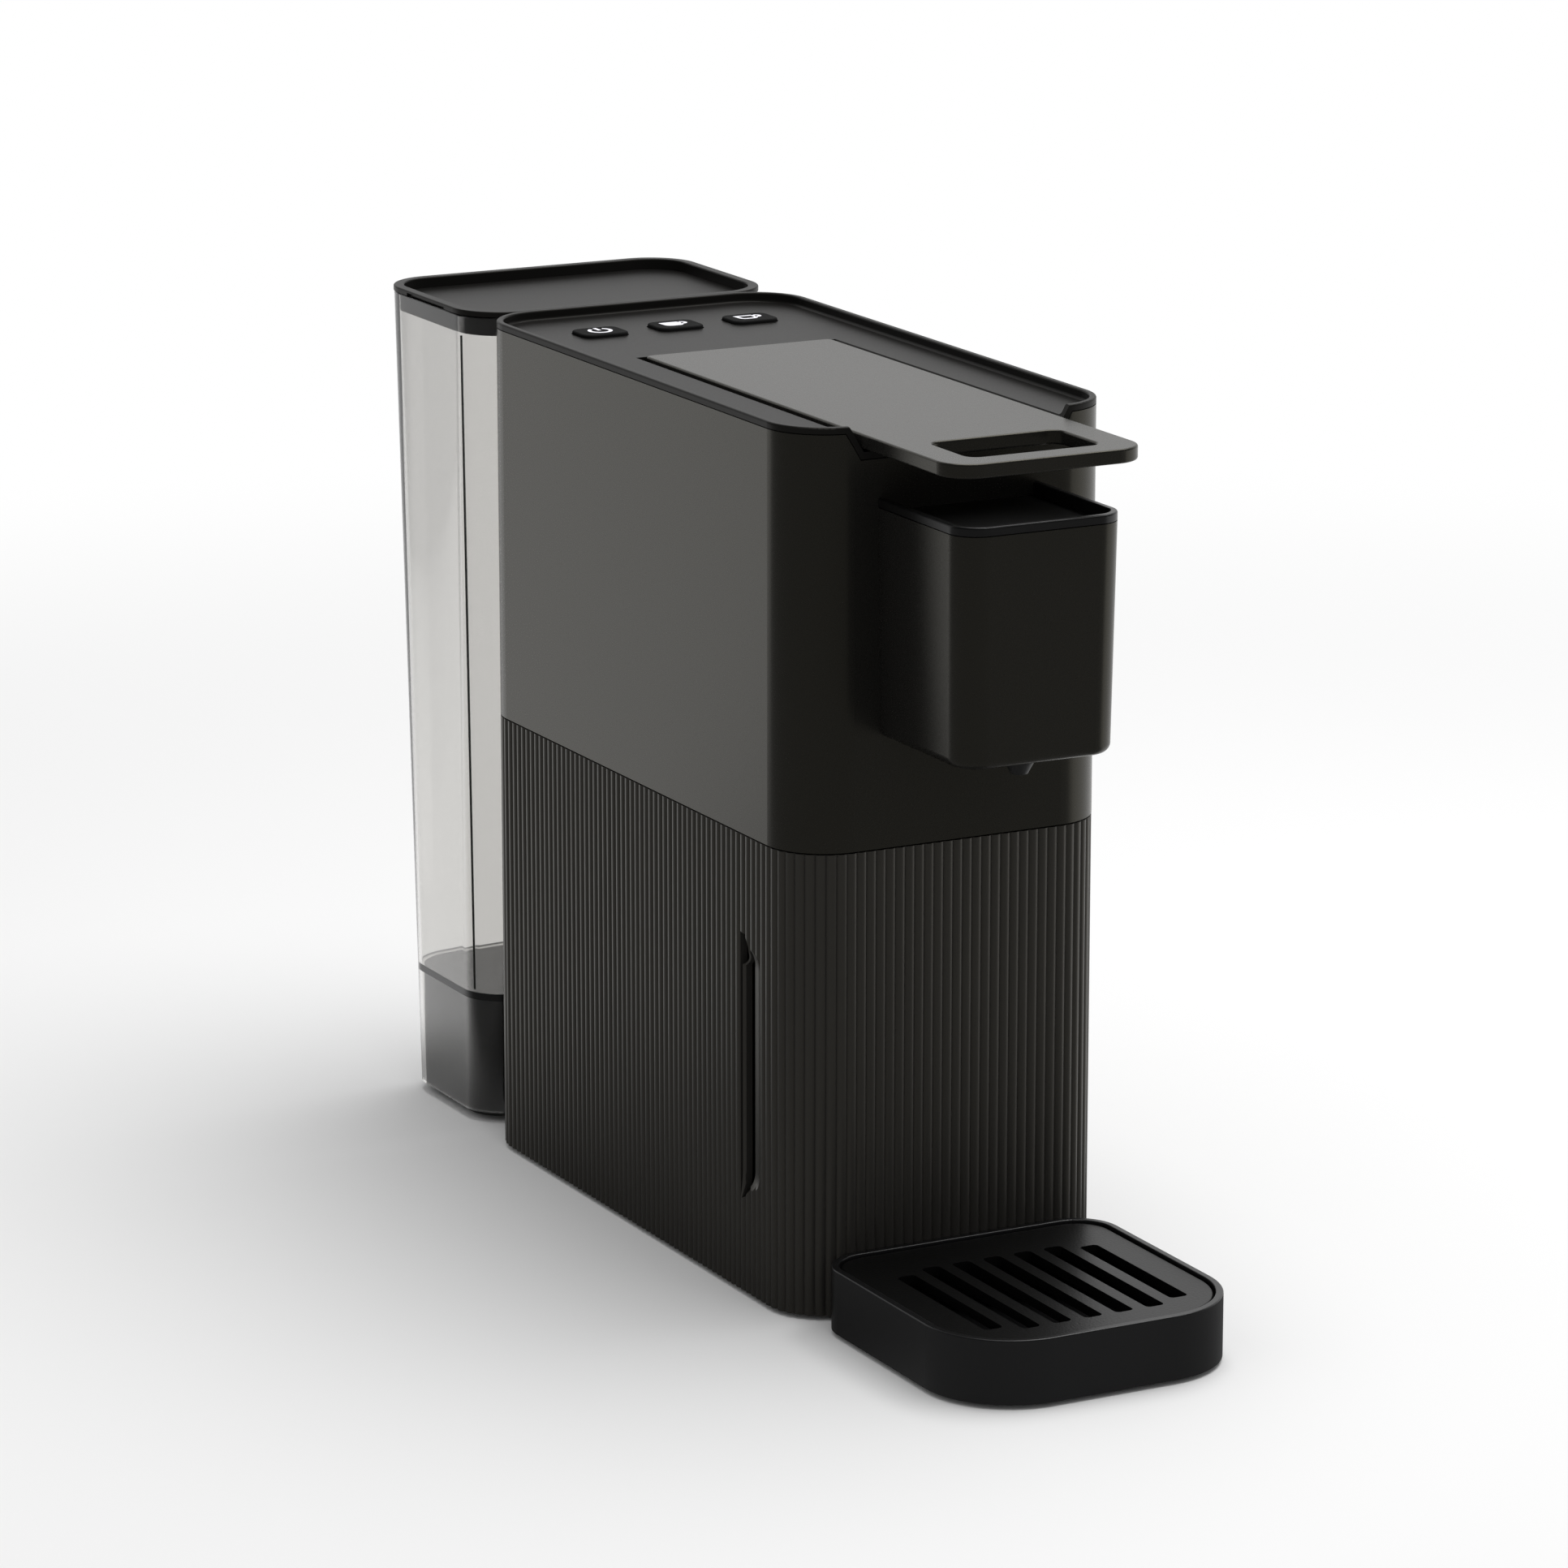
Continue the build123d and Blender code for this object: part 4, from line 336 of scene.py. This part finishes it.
tank = {"foot": {"z": 3.5, "width": 104.0, "front": 130.3, "rear": 189.7, "corner": 14.0},
        "top": {"z": 275.0, "width": 109.2, "front": 122.9, "rear": 199.1, "corner": 16.0},
        "wall": 1.6, "floorLow": 42.5, "floorHigh": 45.0, "lipRound": 0.5, "roundSteps": 5,
        "cornerSteps": 16, "notch": {"half": 35.0, "top": 30.9, "reach": 1.0, "hair": 0.01},
        "spigot": {"place": (25.0, 160.5), "radius": 7.0, "bore": 5.4, "low": 27.8, "steps": 40}}


# The leaning tank's rounded outline at a height, drawn in from the outside
def tankRing(form, height, inset):
    foot, top = tank["foot"], tank["top"]
    share = (height - foot["z"]) / (top["z"] - foot["z"])
    width, front, rear, corner = [foot[key] + share * (top[key] - foot[key])
                                  for key in ("width", "front", "rear", "corner")]
    sheet = bmesh.ops.create_grid(form, x_segments=1, y_segments=1, size=0.5)["verts"]
    bmesh.ops.scale(form, vec=(width - 2 * inset, rear - front - 2 * inset, 1), verts=sheet)
    bmesh.ops.translate(form, vec=(0, (front + rear) / 2, height), verts=sheet)
    earlier = {face for face in form.faces if sheet[0] not in face.verts}
    bmesh.ops.bevel(form, geom=sheet, offset=corner - inset, offset_type="OFFSET",
                    segments=tank["cornerSteps"], profile=0.5, affect="VERTICES", material=-1)
    face = next(face for face in form.faces if face not in earlier)
    ring = list(face.edges)
    bmesh.ops.delete(form, geom=[face], context="FACES_ONLY")
    return ring


# A round of the spigot under the tank's floor
def spigotRing(form, height, radius):
    spigot = tank["spigot"]
    made = bmesh.ops.create_circle(form, cap_ends=False, segments=spigot["steps"], radius=radius)["verts"]
    bmesh.ops.translate(form, vec=(*spigot["place"], height), verts=made)
    return list({edge for vert in made for edge in vert.link_edges})


form = bmesh.new()
foot, top, wall, lip = tank["foot"], tank["top"], tank["wall"], tank["lipRound"]
spigot, notch = tank["spigot"], tank["notch"]
turns = [math.radians(90 * step / tank["roundSteps"]) for step in range(tank["roundSteps"] + 1)]
# The rings run down the skirt's inside, round its foot, up the outside, over the lip, down to the floor and
# out through the spigot, so that bridging each to the next closes the whole form
rings = [tankRing(form, tank["floorLow"], wall), tankRing(form, foot["z"], wall),
         tankRing(form, foot["z"], 0)]
for turn in turns:
    rings.append(tankRing(form, top["z"] - lip * (1 - math.sin(turn)), lip * (1 - math.cos(turn))))
for turn in turns:
    rings.append(tankRing(form, top["z"] - lip * (1 - math.cos(turn)), wall - lip * (1 - math.sin(turn))))
rings.append(tankRing(form, tank["floorHigh"], wall))
rings.append(spigotRing(form, tank["floorHigh"], spigot["bore"]))
rings.append(spigotRing(form, spigot["low"], spigot["bore"]))
rings.append(spigotRing(form, spigot["low"], spigot["radius"]))
rings.append(spigotRing(form, tank["floorLow"], spigot["radius"]))
for lower, upper in zip(rings, rings[1:] + rings[:1]):
    bmesh.ops.bridge_loops(form, edges=[*lower, *upper])

# The notch in the skirt's front, over the plinth's neck: cut out of both faces of the wall, then closed
skirtFront = foot["front"] + wall + notch["reach"]
cuts = (((0, 0, notch["top"]), (0, 0, 1)), ((-notch["half"], 0, 0), (1, 0, 0)),
        ((notch["half"], 0, 0), (1, 0, 0)))
for place, way in cuts:
    near = [face for face in form.faces if face.calc_center_median().y < skirtFront
            and min(vert.co.z for vert in face.verts) < notch["top"] - notch["reach"]]
    around = {item for face in near for item in (*face.verts, *face.edges, face)}
    bmesh.ops.bisect_plane(form, geom=list(around), plane_co=place, plane_no=way)
inNotch = [face for face in form.faces if face.calc_center_median().y < skirtFront
           and abs(face.calc_center_median().x) < notch["half"]
           and max(vert.co.z for vert in face.verts) < notch["top"] + notch["hair"]]
bmesh.ops.delete(form, geom=inNotch, context="FACES")
sides = [edge for edge in form.edges
         if edge.is_boundary and max(vert.co.z for vert in edge.verts) > foot["z"] + notch["reach"]]
bmesh.ops.bridge_loops(form, edges=sides)
tankPiece = placePiece(form, "smokedTank", "tank", smokedTank)
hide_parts("water_tank")

# A fine moulded rib stands on the wall inside each front corner and leans with it
rib = {"low": (-49.9, 138.6, 46.0), "high": (-52.7, 136.6, 268.0), "width": 0.55}
form = bmesh.new()
for side in (-1, 1):
    ends = []
    for place in (rib["low"], rib["high"]):
        square = bmesh.ops.create_grid(form, x_segments=1, y_segments=1, size=rib["width"] / 2)["verts"]
        bmesh.ops.translate(form, vec=(-side * place[0], place[1], place[2]), verts=square)
        ends.append(square)
    around = {edge for square in ends for vert in square for edge in vert.link_edges}
    bmesh.ops.bridge_loops(form, edges=list(around))
placePiece(form, "tankRibs", "tank", smokedRib)
print("water tank")

camera = {"place": (-0.9362225, -1.7765727, 0.6479345), "yaw": 27.6309, "pitch": 14.1491, "lens": 150.407}
lens = bpy.data.cameras.new("studioCamera")
lens.lens = camera["lens"]
lens.sensor_width = 36
cameraObject = bpy.data.objects.new("studioCamera", lens)
cameraObject.location = camera["place"]
cameraObject.rotation_euler = (math.radians(90 - camera["pitch"]), 0, -math.radians(camera["yaw"]))
bpy.context.scene.collection.objects.link(cameraObject)
bpy.context.scene.camera = cameraObject
bpy.context.scene.view_settings.view_transform = "Standard"

floor = {"half": 9.0, "tone": "f0f0f0", "fadeNear": 0.42, "fadeFar": 1.25,
         "glossFront": 0.17, "glossRear": 1.0, "glossFrom": -0.02, "glossTo": 0.13,
         "glossWay": (1.0, 1.0, 0.0), "footMiddle": (0.0, 0.049, 0.0), "footHalf": (0.055, 0.151, 1.0),
         "nearShade": 0.35, "shadeReach": 0.085}
floorMesh = bpy.data.meshes.new("paleFloor")
form = bmesh.new()
bmesh.ops.create_grid(form, x_segments=2, y_segments=2, size=floor["half"])
form.to_mesh(floorMesh)
form.free()
floorObject = bpy.data.objects.new("paleFloor", floorMesh)
bpy.context.scene.collection.objects.link(floorObject)

# White paper floor: it takes the object's shadow near by, and far off the camera sees it plain white
floorMaterial, tree = newMaterial("whitePaperFloor")
place = addNode(tree, "ShaderNodeTexCoord").outputs["Object"]
path = addNode(tree, "ShaderNodeLightPath")
paper = addNode(tree, "ShaderNodeBsdfPrincipled", {}, {
    "Base Color": hexToLinear(floor["tone"]), "Roughness": 0.9, "Specular IOR Level": 0.0})
reach = addNode(tree, "ShaderNodeVectorMath", {"operation": "LENGTH"}, {}, {0: place})
fade = addNode(tree, "ShaderNodeMapRange", {"interpolation_type": "SMOOTHSTEP"},
               {"From Min": floor["fadeNear"], "From Max": floor["fadeFar"]},
               {"Value": reach.outputs["Value"]})
seen = addNode(tree, "ShaderNodeMath", {"operation": "MAXIMUM"}, {},
               {0: path.outputs["Is Camera Ray"], 1: path.outputs["Is Transmission Ray"]})
share = addNode(tree, "ShaderNodeMath", {"operation": "MULTIPLY"}, {},
                {0: fade.outputs["Result"], 1: seen.outputs["Value"]})
white = addNode(tree, "ShaderNodeEmission", {}, {"Strength": 1.0})
nearFar = addNode(tree, "ShaderNodeMixShader", {}, {},
                  {"Fac": share.outputs["Value"], 1: paper.outputs["BSDF"], 2: white.outputs["Emission"]})

# In the object's gloss the floor is dark to the front, bright to the rear, and shaded close to the foot
along = addNode(tree, "ShaderNodeVectorMath", {"operation": "DOT_PRODUCT"},
                {1: floor["glossWay"]}, {0: place})
glossLevel = addNode(tree, "ShaderNodeMapRange", {"interpolation_type": "SMOOTHSTEP"},
                     {"From Min": floor["glossFrom"], "From Max": floor["glossTo"],
                      "To Min": floor["glossFront"], "To Max": floor["glossRear"]},
                     {"Value": along.outputs["Value"]})
beside = addNode(tree, "ShaderNodeVectorMath", {"operation": "SUBTRACT"},
                 {1: floor["footMiddle"]}, {0: place})
span = addNode(tree, "ShaderNodeVectorMath", {"operation": "ABSOLUTE"}, {}, {0: beside.outputs["Vector"]})
past = addNode(tree, "ShaderNodeVectorMath", {"operation": "SUBTRACT"},
               {1: floor["footHalf"]}, {0: span.outputs["Vector"]})
clear = addNode(tree, "ShaderNodeVectorMath", {"operation": "MAXIMUM"},
                {1: (0, 0, 0)}, {0: past.outputs["Vector"]})
away = addNode(tree, "ShaderNodeVectorMath", {"operation": "LENGTH"}, {}, {0: clear.outputs["Vector"]})
footShade = addNode(tree, "ShaderNodeMapRange", {"interpolation_type": "SMOOTHSTEP"},
                    {"From Min": 0.0, "From Max": floor["shadeReach"], "To Min": floor["nearShade"]},
                    {"Value": away.outputs["Value"]})
dimmed = addNode(tree, "ShaderNodeMath", {"operation": "MULTIPLY"}, {},
                 {0: glossLevel.outputs["Result"], 1: footShade.outputs["Result"]})
mirrored = addNode(tree, "ShaderNodeEmission", {}, {}, {"Strength": dimmed.outputs["Value"]})
floorShader = addNode(tree, "ShaderNodeMixShader", {}, {},
                      {"Fac": path.outputs["Is Glossy Ray"], 1: nearFar.outputs["Shader"],
                       2: mirrored.outputs["Emission"]})
addNode(tree, "ShaderNodeOutputMaterial", {}, {}, {"Surface": floorShader.outputs["Shader"]})
floorMaterial.cycles.emission_sampling = "NONE"  # the paper is seen, it is no lamp
floorMesh.materials.append(floorMaterial)

# The studio: even light on the object, a bright wall to the rear in its gloss, and a white backdrop
studio = {"even": 0.5, "front": 0.04, "rear": 0.82, "blend": (0.05, 0.75), "way": (0.51, 0.86, 0.0),
          "backdrop": 1.0}
world = bpy.data.worlds.new("studio")
bpy.context.scene.world = world
world.use_nodes = True
tree = world.node_tree
tree.nodes.clear()
heading = addNode(tree, "ShaderNodeTexCoord").outputs["Generated"]
way = addNode(tree, "ShaderNodeVectorMath", {"operation": "DOT_PRODUCT"}, {1: studio["way"]}, {0: heading})
level = addNode(tree, "ShaderNodeMapRange", {"interpolation_type": "SMOOTHSTEP"},
                {"From Min": studio["blend"][0], "From Max": studio["blend"][1],
                 "To Min": studio["front"], "To Max": studio["rear"]}, {"Value": way.outputs["Value"]})
path = addNode(tree, "ShaderNodeLightPath")
strength = addNode(tree, "ShaderNodeMix", {"data_type": "FLOAT"}, {"B": studio["even"]},
                   {"Factor": path.outputs["Is Diffuse Ray"], "A": level.outputs["Result"]})
dome = addNode(tree, "ShaderNodeBackground", {}, {"Color": (1, 1, 1, 1)},
               {"Strength": strength.outputs["Result"]})
backdrop = addNode(tree, "ShaderNodeBackground", {},
                   {"Color": (1, 1, 1, 1), "Strength": studio["backdrop"]})
seen = addNode(tree, "ShaderNodeMath", {"operation": "MAXIMUM"}, {},
               {0: path.outputs["Is Camera Ray"], 1: path.outputs["Is Transmission Ray"]})
sky = addNode(tree, "ShaderNodeMixShader", {}, {},
              {"Fac": seen.outputs["Value"], 1: dome.outputs["Background"],
               2: backdrop.outputs["Background"]})
addNode(tree, "ShaderNodeOutputWorld", {}, {}, {"Surface": sky.outputs["Shader"]})
world.cycles.sampling_method = "NONE"  # its level differs by kind of ray, so only the rays find it

lamps = {"overhead": {"place": (0.36, -0.02, 1.5), "aim": (0.0, 0.0, 0.1), "size": 1.5, "power": 20}}
for name, lamp in lamps.items():
    light = bpy.data.lights.new(name, "AREA")
    light.shape = "DISK"
    light.size = lamp["size"]
    light.energy = lamp["power"]
    lightObject = bpy.data.objects.new(name, light)
    lightObject.location = lamp["place"]
    aim = Vector(lamp["aim"]) - Vector(lamp["place"])
    lightObject.rotation_euler = aim.to_track_quat("-Z", "Y").to_euler()
    bpy.context.scene.collection.objects.link(lightObject)
print("stage and lights")
